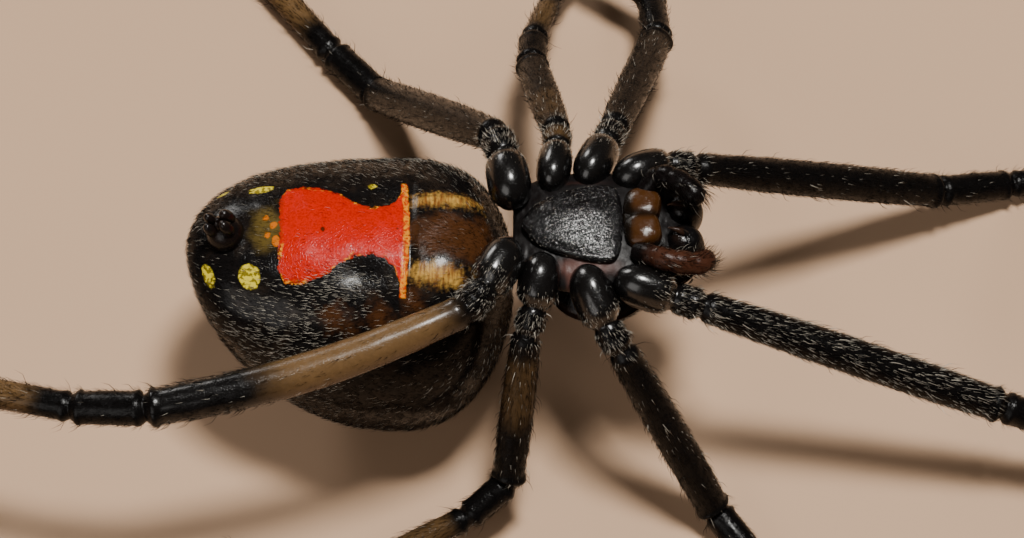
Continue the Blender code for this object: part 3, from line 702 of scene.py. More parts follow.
def make_leg_skin(leg, material):
    """The skin of one leg, with its fields of brown and of gloss."""
    s, t = rings(leg_rows(leg), LEG_COLUMNS)
    grid = leg_surface(leg, s, t)
    ends = leg_axis(leg, np.array((-COXA_ROOT - 0.03, leg["length"])))
    ends[:, 2] = np.maximum(ends[:, 2], 0.06)
    brown = leg_brown(leg, s, t)
    gloss = leg_gloss(leg, s)
    fields = {"brown": np.concatenate((brown.ravel(), [brown[0].mean(), brown[-1].mean()])),
              "gloss": np.concatenate((gloss.ravel(), [gloss[0, 0], gloss[-1, 0]]))}
    name = "leg_%s_%d" % (leg["side"], leg["pair"])
    nodes = ["%s_%s" % (name, piece) for piece in ("coxa", "femur", "patella", "tibia", "foot")]
    points, quads, tris = closed_tube(grid, ends[0], ends[1])
    add_piece(name + "_skin", points, quads, tris, material, fields, None, nodes)


# Hair of the links: hairs for each square millimetre, length in mm, lift in degrees
LINK_HAIR = {
    "coxa": (330, 0.13, 22),
    "trochanter": (330, 0.16, 28),
    "femur": (175, 0.24, 19),
    "patella": (110, 0.24, 24),
    "tibia": (130, 0.28, 24),
    "metatarsus": (120, 0.26, 28),
    "tarsus": (120, 0.19, 32),
}


def leg_bare(leg, s):
    """Where a leg is smooth: the brown two thirds of the left hind femur, and the inner coxae."""
    stations = leg["stations"]
    hind = 0.0
    if leg["pair"] == 4:
        hind = 0.88 if leg["side"] == "left" else 0.3
    smooth_end = stations[2] + 0.66 * (stations[3] - stations[2])
    femur = smoothstep(stations[2] - 0.1, stations[2] + 0.2, s)
    femur *= 1.0 - smoothstep(smooth_end, smooth_end + 0.5, s)
    inner = 1.0 - smoothstep(0.35 * stations[1], 0.8 * stations[1], s)
    return np.maximum(hind * femur, 0.92 * inner)


def leg_painted_glints(leg, s):
    """Share of pale hairs, which are painted glints: many on the coxae's ends, the trochanters and the left
    first femur.
    """
    stations = leg["stations"]
    root = smoothstep(0.4 * stations[1], 0.8 * stations[1], s)
    root *= 1.0 - smoothstep(stations[2], stations[2] + 0.4, s)
    first = 0.45 if leg["pair"] == 1 and leg["side"] == "left" else 0.02
    femur = smoothstep(stations[2] - 0.2, stations[2] + 0.2, s)
    femur *= 1.0 - smoothstep(stations[3] - 0.6, stations[3], s)
    return np.clip(0.025 + 0.5 * root + first * femur, 0.0, 1.0)


def make_leg_hair(leg, material):
    """Short hair that lies along the leg towards its foot, with a few longer bristles between."""
    stations = leg["stations"]
    drawn = []
    for number, name in enumerate(LINKS):
        around = 2.0 * math.pi * RADII[name][1] * PAIR_THICKNESS[leg["pair"]]
        count = int(LINK_HAIR[name][0] * around * (stations[number + 1] - stations[number]))
        drawn.append(RNG.uniform(stations[number] + 0.06, stations[number + 1] - 0.04, count))
    s = np.concatenate(drawn)
    s = s[RNG.uniform(0.0, 1.0, len(s)) > leg_bare(leg, s)]
    count = len(s)
    turn = RNG.uniform(0.0, 2.0 * math.pi, count)
    link = np.clip(np.searchsorted(stations, s, side="right") - 1, 0, 6)
    table = np.array([LINK_HAIR[name] for name in LINKS])
    root, normal, along = surface_frame(lambda a, b: leg_surface(leg, a, b), s, turn, 0.02, 0.03)
    outward = root - leg_axis(leg, s)
    normal *= np.sign((normal * outward).sum(1, keepdims=True))
    around = np.cross(normal, along)
    lie = unit(along + around * RNG.normal(0.0, 0.14, count)[:, None])
    bristle = RNG.uniform(0.0, 1.0, count) < BRISTLE_SHARE
    length = table[link, 1] * RNG.uniform(0.65, 1.3, count) * np.where(bristle, 1.8, 1.0)
    lift = np.radians(table[link, 2]) * RNG.uniform(0.5, 1.5, count) * np.where(bristle, 1.7, 1.0)
    radius = np.where(bristle, BRISTLE_RADIUS, LEG_HAIR_RADIUS) * RNG.uniform(0.8, 1.2, count)
    # pale hairs are painted glints of light on black hair
    painted_glint = (RNG.uniform(0.0, 1.0, count) < leg_painted_glints(leg, s)) * RNG.uniform(0.25, 1.0, count)
    uv = np.stack((0.02 + 0.95 * turn / (2.0 * math.pi), 0.02 + 0.95 * s / leg["length"]), -1)
    rows = hair_rows(root, normal, lie, length, radius, lift, 0.7, painted_glint, leg_brown(leg, s, turn), uv)
    rows = {key: values[root[:, 2] > 0.05] for key, values in rows.items()}
    add_hair("hair_leg_%s_%d" % (leg["side"], leg["pair"]), rows, material)


def make_claws(legs, material):
    """Two curved claws and a short hook at the end of each foot."""
    shapes = []
    for leg in legs:
        tip = leg_axis(leg, np.array(leg["length"] - 0.02))
        tip[2] = max(tip[2], 0.1)
        along = unit(leg["joints"][-1] - leg["joints"][-2])
        across = unit(np.cross(along, np.array((0.0, 0.0, 1.0))))
        down = np.cross(along, across)
        down *= -np.sign(down[2]) if down[2] > 0 else 1.0
        for spread, reach in ((-0.045, 0.26), (0.045, 0.26), (0.0, 0.17)):
            base = tip + across * spread
            crest = base + along * reach * 0.8 - down * 0.02
            end = base + along * reach + down * reach * 0.5
            end[2] = max(end[2], 0.02)
            shapes.append(horn(base, crest, end, 0.032))
    points, quads, tris = join(shapes)
    fields = {"brown": np.zeros(len(points))}
    return add_piece("claws", points, quads, tris, material, fields)


# Abdomen

def round_fall(u, power, bend):
    """Falls from 1 at the middle to 0 at the end, like a rounded quarter."""
    return np.maximum(0.0, 1.0 - u ** power) ** bend


def abdomen_lines(x):
    """Half width, height of the belly and height of the back at places along X."""
    front = x >= ABDOMEN_WIDEST
    share = np.clip(np.where(front, (x - ABDOMEN_WIDEST) / (ABDOMEN_FRONT - ABDOMEN_WIDEST),
                             (ABDOMEN_WIDEST - x) / (ABDOMEN_WIDEST - ABDOMEN_REAR)), 0.0, 1.0)
    wide = ABDOMEN_HALF_WIDTH * round_fall(share, np.where(front, 2.4, 2.2), 0.5)
    end = np.where(front, FRONT_END_HEIGHT, REAR_END_HEIGHT)
    top = end + (ABDOMEN_HEIGHT - end) * round_fall(share, 4.0, 0.5)
    bottom = end - (end + REST_DIP) * round_fall(share, 2.1, np.where(front, 0.5, 0.75))
    return wide, top, bottom


def belly_relief(x, y):
    """Depth of the belly's own forms in mm: two sunk dark hollows beside the mark's waist, the
    furrow in front of the mark, the low plates before it, and muscle dimples."""
    hollow_right = bump(x, -0.38, 0.52) * bump(y, 1.08, 0.3)
    hollow_left = bump(x, -0.58, 0.58) * bump(y, -1.12, 0.32)
    furrow = 0.7 * bump(x, 0.64, 0.12) * (1.0 - smoothstep(1.4, 2.0, np.abs(y)))
    plates = bump(x, 1.7, 0.7) * (bump(y, 0.95, 0.4) + bump(y, -0.95, 0.42))
    centre = bump(x, 1.8, 0.8) * bump(y, 0.0, 0.35)
    tail = bump(x, -3.2, 0.5) * bump(y, 0.0, 0.5)
    sunk = 0.09 * hollow_right + 0.09 * hollow_left + 0.1 * furrow + 0.05 * centre + 0.06 * tail
    return 0.07 * plates - sunk


def abdomen_surface(x, turn):
    """The abdomen's skin: ellipses along X between the belly and back lines, with soft wrinkles,
    the belly's forms on the upper side, and a flat where the back meets the floor."""
    wide, top, bottom = abdomen_lines(x)
    middle = 0.5 * (top + bottom)
    tall = np.maximum(0.5 * (top - bottom) - SKIN_INSET, 0.01)
    wide = np.maximum(wide - SKIN_INSET, 0.01)
    y = wide * np.cos(turn)
    z = middle + tall * np.sin(turn)
    points = np.stack((x, y, z), -1)
    upper = smoothstep(0.1, 0.6, np.sin(turn))
    soft = 0.012 * ripple(points, 0.8, 21) + 0.002 * ripple(points, 0.3, 22)
    points[..., 2] += belly_relief(x, y) * upper
    outward = np.stack((np.zeros_like(x), np.cos(turn), np.sin(turn)), -1)
    points += outward * soft[..., None]
    points[..., 2] = np.maximum(points[..., 2], FLOOR)
    return points


def outline_field(x, y, stations, low, high):
    """Distance-like field of a shape between two edge lines, positive inside, in mm."""
    lower = np.interp(x, stations, low)
    upper = np.interp(x, stations, high)
    ends = np.minimum(x - stations[0], stations[-1] - x)
    return np.minimum(np.minimum(y - lower, upper - y), ends)


def spot_field(x, y, centre, size, angle=0.0):
    """Field of an oval spot, positive inside."""
    turn = math.radians(angle)
    dx = (x - centre[0]) * math.cos(turn) + (y - centre[1]) * math.sin(turn)
    dy = (y - centre[1]) * math.cos(turn) - (x - centre[0]) * math.sin(turn)
    return (1.0 - np.sqrt((dx / size[0]) ** 2 + (dy / size[1]) ** 2)) * min(size)


def belly_fields(points):
    """The belly's markings as fields in mm, positive inside each; they hold on the upper side."""
    x, y, z = points[..., 0], points[..., 1], points[..., 2]
    above = smoothstep(4.9, 5.6, z)
    stations = np.array((-2.64, -2.5, -2.1, -1.6, -1.1, -0.75, -0.35, 0.0, 0.25, 0.42, 0.5))
    left = -np.array((1.02, 1.3, 1.36, 1.2, 0.86, 0.66, 0.62, 0.72, 0.98, 1.45, 1.62))
    right = np.array((1.06, 1.34, 1.44, 1.36, 1.12, 0.86, 0.7, 0.72, 0.9, 1.3, 1.5))
    mark = outline_field(x, y, stations, left, right)
    bar = np.minimum(0.09 - np.abs(x - 0.49 - 0.05 * np.cos(y * 1.5)), 1.62 - np.abs(y + 0.07))
    yellow = np.maximum.reduce([
        spot_field(x, y, (-3.18, 1.42), (0.34, 0.14), 8),
        spot_field(x, y, (-3.38, -1.12), (0.27, 0.33), 30),
        spot_field(x, y, (-4.42, -0.95), (0.14, 0.3), 25), spot_field(x, y, (-0.35, 1.45), (0.13, 0.1)),
        spot_field(x, y, (-4.15, 1.5), (0.2, 0.08), 30)])
    orange = np.maximum.reduce([
        spot_field(x, y, (-2.8, 0.2), (0.1, 0.12)), spot_field(x, y, (-2.72, -0.25), (0.12, 0.16)),
        spot_field(x, y, (-2.95, -0.05), (0.08, 0.1)), spot_field(x, y, (-3.0, 0.42), (0.1, 0.08))])
    cream = np.maximum.reduce([
        spot_field(x, y, (1.45, 0.95), (0.9, 0.24), 3), spot_field(x, y, (1.3, -1.12), (0.75, 0.3), -4)])
    dots = np.maximum.reduce([
        spot_field(x, y, (-1.56, 0.05), (0.06, 0.08)), spot_field(x, y, (0.31, 0.08), (0.05, 0.05)),
        spot_field(x, y, (-1.62, -0.42), (0.03, 0.03)), spot_field(x, y, (-2.2, 0.6), (0.03, 0.03))])
    brown = np.maximum.reduce([
        spot_field(x, y, (1.75, -0.08), (1.3, 0.7)), spot_field(x, y, (-1.15, -2.1), (0.6, 0.3), -12),
        spot_field(x, y, (-0.1, -2.15), (0.35, 0.5), 20), spot_field(x, y, (0.75, -1.85), (0.3, 0.6), 8)])
    brown = brown + 0.14 * ripple(points, 0.55, 61)
    olive = spot_field(x, y, (-2.98, 0.16), (0.42, 0.66)) + 0.1 * ripple(points, 0.5, 62)
    shown = {"mark": mark, "bar": bar, "yellow": yellow, "orange": orange, "cream": cream,
             "brown_patch": brown, "dots": dots, "olive": olive}
    return {name: values * above - (1.0 - above) for name, values in shown.items()}


def make_abdomen(material):
    """The skin of the abdomen, which carries its markings as fields."""
    gx, gt = rings(ABDOMEN_REAR + (ABDOMEN_FRONT - ABDOMEN_REAR) * spaced(300), 210)
    points, quads, tris = closed_tube(abdomen_surface(gx, gt),
                                      (ABDOMEN_REAR + 0.01, 0.0, REAR_END_HEIGHT),
                                      (ABDOMEN_FRONT - 0.01, 0.0, FRONT_END_HEIGHT))
    fields = belly_fields(points)
    return add_piece("abdomen_skin", points, quads, tris, material, fields, None,
                     ("abdomen", "hourglass_mark"))


def abdomen_finish(relief):
    """Black skin with the red hourglass, its yellow-edged rim, cream, yellow and brown patches.
    Each marking is its field, shaken by noise for a broken edge, and stepped into a mask."""
    material, tree, shader = new_finish("abdomen_skin")
    point = object_point(tree)
    worn = use_relief(tree, relief, 0.6)
    shake = math_node(tree, "MULTIPLY_ADD", noise(tree, point, 0.16, 4.0, 0.65), 0.3, -0.15)
    fine = noise(tree, point, 0.05, 3.0, 0.6)
    speckle = noise(tree, point, 0.09, 2.0, 0.5)

    def mask(name, low, high, jitter=1.0):
        shaken = math_node(tree, "MULTIPLY_ADD", shake, jitter, field(tree, name))
        return ramp(tree, shaken, low, high)

    black = mix_colour(tree, ramp(tree, noise(tree, point, 0.6), 0.45, 0.8),
                       MARKING["black"], MARKING["worn black"])
    colour = mix_colour(tree, mask("brown_patch", -0.12, 0.3, 1.6), black, MARKING["brown"])
    colour = mix_colour(tree, mask("olive", -0.15, 0.25, 1.0), colour, MARKING["olive"])
    # Cream patches carry folds: their crests are cream, and their hollows, sunk by the same noise in the
    # bump, a darker cream that is painted shade.
    folds = add_node(tree, "ShaderNodeVectorMath", {"operation": "MULTIPLY"}, i0=point,
                     i1=(1.0, 0.16, 0.3)).outputs[0]
    streak = ramp(tree, noise(tree, folds, 0.09, 2.0), 0.3, 0.7)
    cream = mix_colour(tree, streak, MARKING["cream fold shade"], MARKING["cream"])
    colour = mix_colour(tree, mask("cream", -0.12, 0.22, 2.0), colour, cream)
    lemon = mix_colour(tree, ramp(tree, speckle, 0.42, 0.55), MARKING["dark lemon"], MARKING["lemon"])
    colour = mix_colour(tree, mask("yellow", -0.01, 0.03, 0.4), colour, lemon)
    colour = mix_colour(tree, mask("orange", -0.01, 0.03, 0.5), colour, MARKING["orange"])
    patchy = ramp(tree, noise(tree, point, 0.35, 2.0), 0.48, 0.62)
    rim = mix_colour(tree, ramp(tree, speckle, 0.42, 0.56), MARKING["dark rim"], MARKING["rim"])
    rim = mix_colour(tree, patchy, MARKING["red rim"], rim)
    colour = mix_colour(tree, mask("mark", -0.03, 0.01, 0.9), colour, rim)
    red = mix_colour(tree, ramp(tree, fine, 0.3, 0.6), MARKING["deep red"], MARKING["red"])
    colour = mix_colour(tree, mask("mark", 0.02, 0.09, 0.9), colour, red)
    bar = mix_colour(tree, ramp(tree, speckle, 0.38, 0.55), MARKING["dark bar"], MARKING["bar"])
    colour = mix_colour(tree, mask("bar", -0.01, 0.04, 0.35), colour, bar)
    colour = mix_colour(tree, mask("dots", -0.01, 0.02, 0.1), colour, MARKING["dot"])
    roughness = ramp(tree, worn.outputs["Wear"], 0.0, 1.0, 0.17, 0.28)
    creased = math_node(tree, "MULTIPLY", noise(tree, folds, 0.09, 2.0), mask("cream", -0.2, 0.1))
    relief_height = math_node(tree, "MULTIPLY_ADD", creased, 1.2, worn.outputs["Height"])
    finish_surface(tree, shader, colour, roughness, relief_height, 0.014)
    gloss = ramp(tree, mask("mark", -0.05, 0.05), 0.0, 1.0, 0.14, 0.0)
    tree.links.new(gloss, shader.inputs["Coat Weight"])
    shader.inputs["Specular IOR Level"].default_value = 0.1
    shader.inputs["Coat Roughness"].default_value = 0.16
    return material


def make_abdomen_hair(material):
    """Short hair over the abdomen that points to the rear, thin on the belly's markings."""
    count = ABDOMEN_HAIRS
    u = RNG.uniform(0.0, 1.0, count)
    x = ABDOMEN_REAR + (ABDOMEN_FRONT - ABDOMEN_REAR) * (0.5 - 0.5 * np.cos(np.pi * (0.03 + 0.94 * u)))
    turn = RNG.uniform(0.0, 2.0 * math.pi, count)
    wide, top, bottom = abdomen_lines(x)
    chance = np.clip(0.5 * (wide + 0.5 * (top - bottom)) / 3.4, 0.15, 1.0)
    root, normal, along = surface_frame(abdomen_surface, x, turn, 0.02, 0.01)
    fields = belly_fields(root)
    bare = np.clip(np.maximum.reduce([smoothstep(-0.1, 0.1, fields[k]) for k in
                                      ("mark", "cream", "bar", "yellow")]), 0.0, 1.0)
    belly = smoothstep(6.2, 6.7, root[:, 2])
    hollow = bump(root[:, 0], -1.2, 1.1) * bump(root[:, 1], -1.3, 0.34) * (root[:, 2] > 5.0)
    cover = np.maximum((1.0 - 0.9 * bare) * (1.0 - 0.35 * belly), 0.75 * hollow)
    keep = RNG.uniform(0.0, 1.0, count) < chance * cover
    keep &= root[:, 2] > 0.12
    outward = root - np.stack((root[:, 0], np.zeros(count), 0.5 * (top + bottom)), -1)
    normal *= np.sign((normal * outward).sum(1, keepdims=True))
    around = np.cross(normal, -along)
    lie = unit(-along + around * RNG.normal(0.0, 0.2, count)[:, None])
    length = RNG.uniform(0.12, 0.24, count) * (1.0 + 0.5 * (RNG.uniform(0, 1, count) < 0.1))
    lift = np.radians(RNG.uniform(18.0, 42.0, count))
    # pale hairs are painted glints: on the left flank, in the left hollow, and a painted reflection along
    # the right side's upper edge
    flank = bump(root[:, 0], -2.2, 1.5) * bump(root[:, 1], -2.3, 0.9) * (root[:, 2] > 3.0)
    edge = bump(root[:, 1], 2.7, 0.7) * (root[:, 2] > 3.5)
    share = 0.07 + 0.55 * flank + 0.9 * hollow + 0.2 * edge
    painted_glint = (RNG.uniform(0.0, 1.0, count) < share) * RNG.uniform(0.3, 1.0, count)
    brown = smoothstep(-0.1, 0.1, fields["brown_patch"]) * 0.6
    uv = np.stack((0.02 + 0.95 * turn / (2.0 * math.pi),
                   0.02 + 0.95 * (x - ABDOMEN_REAR) / (ABDOMEN_FRONT - ABDOMEN_REAR)), -1)
    radius = RNG.uniform(0.0032, 0.005, count) * (1.0 + 0.4 * hollow)
    rows = hair_rows(root, normal, lie, length, radius, lift, 0.6, painted_glint, brown, uv)
    rows = {key: values[keep] for key, values in rows.items()}
    add_hair("hair_abdomen", rows, material)


# Front body

def carapace_surface(x, turn):
    """The shield of the back: broad over the legs and drawn in to the head, domed below the
    margin and raised between the leg roots above it."""
    share = (x - CARAPACE_REAR) / (CARAPACE_FRONT - CARAPACE_REAR)
    draw_in = 1.0 / (1.0 + np.exp(-(share - 0.62) * 14.0))
    across = np.sqrt(np.maximum(0.0, 1.0 - np.abs(2.0 * share - 1.0) ** 3.4))
    wide = across * (CARAPACE_HALF_WIDTH + (HEAD_HALF_WIDTH - CARAPACE_HALF_WIDTH) * draw_in)
    ends = np.sqrt(np.maximum(0.0, 1.0 - np.abs(2.0 * share - 1.0) ** 3.0))
    back = CARAPACE_DEPTH * ends * (0.86 + 0.14 * np.cos(2.0 * np.pi * (share - 0.72)))
    core = CORE_RISE * ends / (1.0 + np.exp((share - 0.7) * 22.0))
    up = np.sin(turn)
    y = (wide - SKIN_INSET) * np.cos(turn)
    z = np.where(up > 0.0, core * np.abs(up) ** 2.2, back * up)
    pit = 0.22 * bump(share, 0.42, 0.07) * bump(y, 0.0, 0.16) * (up < 0)
    aside = np.abs(y) - 0.25 - 1.6 * np.abs(share - 0.42)
    groove = 0.08 * bump(aside, 0.0, 0.08) * (up < 0) * (share > 0.42)
    rim = 0.05 * bump(up, 0.0, 0.12)
    points = np.stack((x, MIDLINE + y * (1.0 + rim), MARGIN_HEIGHT + z + pit + groove), -1)
    return points


def make_carapace(material):
    """The skin of the carapace, with a browner margin."""
    gx, gt = rings(CARAPACE_REAR + (CARAPACE_FRONT - CARAPACE_REAR) * spaced(110), 120)
    points, quads, tris = closed_tube(carapace_surface(gx, gt), (CARAPACE_REAR, MIDLINE, MARGIN_HEIGHT),
                                      (CARAPACE_FRONT, MIDLINE, MARGIN_HEIGHT))
    rim = bump(points[:, 2], MARGIN_HEIGHT, 0.12) * 0.5
    add_piece("carapace_skin", points, quads, tris, material, {"brown": rim}, None,
              ("carapace",))


def make_pedicel(material):
    """The narrow stalk, ringed by soft folds, that runs from inside the abdomen into the body."""
    start, end = (np.array(point) for point in PEDICEL)
    along = unit(end - start)
    start = start - along * 0.5
    end = end + along * 0.5
    share, turn = rings(spaced(40), 40)
    size = PEDICEL_RADIUS * (0.93 + 0.05 * np.cos(share * 30.0))[..., None]
    spoke = np.stack((np.zeros_like(turn), np.cos(turn), np.sin(turn)), -1)
    grid = start + (end - start) * share[..., None] + spoke * size
    points, quads, tris = closed_tube(grid, start, end)
    add_piece("pedicel_skin", points, quads, tris, material,
              {"brown": np.full(len(points), 0.5)}, None, ("pedicel",))


def make_eyes(material):
    """Eight round eyes in two rows on the face."""
    shapes = []
    for x, depth, spread in EYE_ROWS:
        for place in (-1.5, -0.5, 0.5, 1.5):
            outward = abs(place) - 1.0
            centre = np.array((x - 0.07 * outward, MIDLINE + spread * place,
                               MARGIN_HEIGHT - depth + 0.12 * outward))
            reach = (EYE_RADIUS, 0.0, 0.0)
            shapes.append(pod(centre - reach, centre + reach, EYE_RADIUS, EYE_RADIUS, 16, 20, 0.5))
    points, quads, tris = join(shapes)
    add_piece("eyes", points, quads, tris, material, {"brown": np.zeros(len(points))})


def sternum_surface(share, turn):
    """A domed shield, pointed behind, widest at four fifths and cut off blunt in front, with a thin
    edge that is turned up a little. Its crest lies right of the middle, so it slopes to the left."""
    wide = STERNUM_HALF_WIDTH * (1.0 - (1.0 - share) ** 2) ** 0.6 * (1.0 - share ** 20) ** 0.45
    wide = wide + STERNUM_FLARE * smoothstep(0.0, 0.15, share)
    middle = 0.5 * (STERNUM_TOP + STERNUM_BOTTOM)
    tall = (0.5 * (STERNUM_TOP - STERNUM_BOTTOM) - 0.06) * (0.45 + 0.55 * np.sin(np.pi * share) ** 0.5)
    side = np.sign(np.cos(turn)) * np.abs(np.cos(turn)) ** 0.9
    x = STERNUM_REAR + (STERNUM_FRONT - STERNUM_REAR) * share
    points = np.stack((x, MIDLINE + wide * side, middle + tall * np.sin(turn)), -1)
    top = smoothstep(0.0, 0.5, np.sin(turn))
    points[..., 2] += top * 0.03 * bump(np.abs(side), 0.95, 0.05)
    points[..., 2] += top * 0.1 * bump(side, 0.35, 0.5) * bump(share, 0.6, 0.4)
    points[..., 2] += top * 0.003 * ripple(points, 0.4, 31)
    return points


def make_sternum(material):
    """The skin of the sternum."""
    gs, gt = rings(spaced(110), 120)
    middle = 0.5 * (STERNUM_TOP + STERNUM_BOTTOM)
    points, quads, tris = closed_tube(sternum_surface(gs, gt), (STERNUM_REAR, MIDLINE, middle),
                                      (STERNUM_FRONT, MIDLINE, middle))
    add_piece("sternum_skin", points, quads, tris, material,
              {"brown": np.zeros(len(points))}, None, ("sternum",))


def membrane_surface(share, turn):
    """Soft skin that fills the body between sternum, leg roots and carapace: a low cushion whose
    outline follows the sternum's, with fine folds across it."""
    x = MEMBRANE[0] + (MEMBRANE[1] - MEMBRANE[0]) * share
    wide = MEMBRANE_HALF_WIDTH * np.sin(np.pi * share ** 0.9) ** 0.2
    y = MIDLINE + 0.03 + wide * np.cos(turn)
    z = MEMBRANE_HEIGHT + MEMBRANE_HALF_DEPTH * np.sin(np.pi * share) ** 0.4 * np.sin(turn)
    points = np.stack((x, y, z), -1)
    points[..., 2] += 0.02 * ripple(points * (1.0, 0.4, 1.0), 0.16, 41) + 0.02 * ripple(points, 0.5, 42)
    return points


def make_membrane(material):
    """The soft skin between the leg roots, reddish beside the left ones and between two of them."""
    gs, gt = rings(spaced(90), 90)
    ends = [(x, MIDLINE + 0.03, MEMBRANE_HEIGHT) for x in MEMBRANE]
    points, quads, tris = closed_tube(membrane_surface(gs, gt), *ends)
    left = bump(points[:, 1], MIDLINE - 1.15, 0.22) * bump(points[:, 0], 5.0, 0.9)
    between = 0.7 * bump(points[:, 0], 4.62, 0.1) * (1.0 - smoothstep(-0.95, -0.6, points[:, 1]))
    right = 0.4 * bump(points[:, 1], MIDLINE + 1.25, 0.1) * bump(points[:, 0], 5.0, 0.7)
    add_piece("membrane_skin", points, quads, tris, material,
              {"brown": np.clip(left + between + right, 0.0, 1.0)})


def make_mouth(amber, black):
    """The lip plate between the two amber plates of the mouth, and the jaws before them."""
    ends = ((LABIUM[0] - 0.25, MOUTH_MIDLINE, 6.62), (LABIUM[1] + 0.15, MOUTH_MIDLINE, 6.72))
    shapes = [pod(*ends, 0.3, 0.24, 40, 40, 0.3, square=0.8)]
    for sign in (-1.0, 1.0):
        start, end = ((x, MOUTH_MIDLINE + sign * (spread - ENDITE_WIDER), height)
                      for x, spread, height in zip((ENDITE_REAR - 0.14, ENDITE_FRONT + 0.04),
                                                   ENDITE_SPREAD, ENDITE_HEIGHTS))
        shapes.append(pod(start, end, ENDITE_HALF_WIDTH + ENDITE_WIDER, ENDITE_HALF_DEPTH, 60, 60, 0.24,
                          square=0.68))
    points, quads, tris = join(shapes)
    points[:, 2] += 0.012 * ripple(points, 0.3, 51)
    apart = np.abs(points[:, 1] - MOUTH_MIDLINE)
    brown = smoothstep(6.0, 6.35, points[:, 0]) * (1.0 - 0.7 * bump(apart, 0.0, 0.16))
    add_piece("mouth_plates", points, quads, tris, amber, {"brown": brown}, None,
              ("labium", "endite_left", "endite_right"))
    for side, sign in (("left", -1.0), ("right", 1.0)):
        make_chelicera(black, side, sign)


def make_chelicera(material, side, sign):
    """A stout jaw joint, rooted inside the head, with its fang folded in across the tip."""
    start = np.array((CHELICERA_X - 0.2, MOUTH_MIDLINE + sign * CHELICERA_SPREAD, MARGIN_HEIGHT + 0.1))
    end = start + np.array((CHELICERA_LEAN, -sign * CHELICERA_TOE_IN, CHELICERA_LENGTH + 0.2))
    jaw = pod(start, end, CHELICERA_RADIUS * 1.32, CHELICERA_RADIUS * 1.42, 44, 44, 0.3)
    back, inward, up = FANG_REACH
    tip = end + np.array((-back, -sign * inward, up))
    inside = end - np.array((0.0, 0.0, FANG_RADIUS * 1.4))
    crest = inside + 0.45 * (tip - inside) + np.array((0.0, 0.0, 0.25))
    points, quads, tris = join([jaw, horn(inside, crest, tip, FANG_RADIUS, 16, 16)])
    brown = 0.4 * smoothstep(6.4, 6.95, points[:, 2]) * (points[:, 0] < end[0] - 0.1)
    add_piece("chelicera_%s_skin" % side, points, quads, tris, material,
              {"brown": brown}, None, ("chelicera_" + side,))


def curve_through(knots, share):
    """A smooth curve through the given points: cubic pieces whose slopes come from the neighbours."""
    knots = np.array(knots, float)
    knots = np.concatenate(([2 * knots[0] - knots[1]], knots, [2 * knots[-1] - knots[-2]]))
    spans = len(knots) - 3
    at = np.clip(share, 0.0, 1.0) * spans
    span = np.minimum(at.astype(int), spans - 1)
    t = (at - span)[..., None]
    a, b, c, d = (knots[span + k] for k in range(4))
    return 0.5 * (2 * b + (c - a) * t + (2 * a - 5 * b + 4 * c - d) * t ** 2
                  + (3 * b - a - 3 * c + d) * t ** 3)


def palp_surface(route, share, turn):
    """A feeler: circles along a curve, drawn in at three joints, with a blunt end."""
    centre = curve_through(route, share)
    along = unit(curve_through(route, share + 0.01) - curve_through(route, share - 0.01))
    across = unit(np.cross(along, np.array((0.0, 0.0, 1.0))))
    upward = np.cross(across, along)
    first, thick, last = PALP_RADII
    swell = thick - 0.5 * (first + last)
    radius = first + (last - first) * share + swell * np.sin(np.pi * share) ** 0.6 + 0.03
    for joint in (0.28, 0.48, 0.68):
        radius = radius * (1.0 - 0.09 * bump(share, joint, 0.03))
    radius = radius * (0.35 + 0.65 * np.sqrt(np.clip(1.0 - smoothstep(0.86, 1.0, share), 0.0, 1.0)))
    spoke = across * np.cos(turn)[..., None] + upward * np.sin(turn)[..., None]
    return centre + radius[..., None] * spoke


def make_palps(material, hair):
    """Both feelers; their skins start a little further back, in the side of the mouth plates."""
    for side, knots in PALP_ROUTES.items():
        route = (PALP_ROOTS[side],) + knots
        gs, gt = rings(spaced(70), 32)
        grid = palp_surface(route, gs, gt)
        points, quads, tris = closed_tube(grid, route[0], route[-1])
        shade = (0.75 if side == "left" else 0.1) * smoothstep(0.05, 0.4, gs)
        brown = np.concatenate((shade.ravel(), [0.0, shade[-1].mean()]))
        add_piece("palp_%s_skin" % side, points, quads, tris, material,
                  {"brown": brown}, None, ("palp_" + side,))
        count = PALP_HAIRS
        s = RNG.uniform(0.1, 0.97, count)
        turn = RNG.uniform(0.0, 2.0 * math.pi, count)
        root, normal, along = surface_frame(lambda a, b: palp_surface(route, a, b), s, turn, 0.01, 0.03)
        normal *= np.sign((normal * (root - curve_through(route, s))).sum(1, keepdims=True))
        lie = unit(along + RNG.normal(0.0, 0.15, (count, 3)))
        uv = np.stack((0.02 + 0.95 * turn / (2.0 * math.pi), 0.02 + 0.95 * s), -1)
        # a few of these hairs are pale: painted glints of light
        rows = hair_rows(root, normal, lie, RNG.uniform(0.15, 0.42, count) * (0.6 + 0.6 * s), 0.006,
                         np.radians(RNG.uniform(20, 55, count)), 0.4,
                         0.5 * (RNG.uniform(0.0, 1.0, count) < 0.08), 0.2, uv)
        add_hair("hair_palp_" + side, rows, hair)


def make_spinnerets(material):
    """A low ring that rises out of the abdomen, and three pairs of blunt cones leaning back."""
    def above(x):
        return float(abdomen_lines(np.array(x))[1]) + SPINNERET_LIFT

    base = above(SPINNERET_X)
    shapes = [pod((SPINNERET_X, 0, base - 0.7), (SPINNERET_X, 0, base + 0.24), SPINNERET_BASE,
                  SPINNERET_BASE, 44, 50, 0.4, (1.0, 0.0, 0.0))]
    for ahead, out, radius, length in SPINNERET_CONES:
        for sign in (-1.0, 1.0):
            foot = np.array((SPINNERET_X + ahead, sign * out, above(SPINNERET_X + ahead) + 0.04))
            aim = unit(np.array((-0.5, -sign * 0.1, 1.0)))
            end = foot + aim * (length + 0.06)
            shapes.append(pod(foot, end, radius, radius, 24, 24, 0.35, (0, 1, 0)))
    points, quads, tris = join(shapes)
    add_piece("spinnerets_skin", points, quads, tris, material,
              {"brown": np.full(len(points), 0.2)}, None, ("spinnerets",))


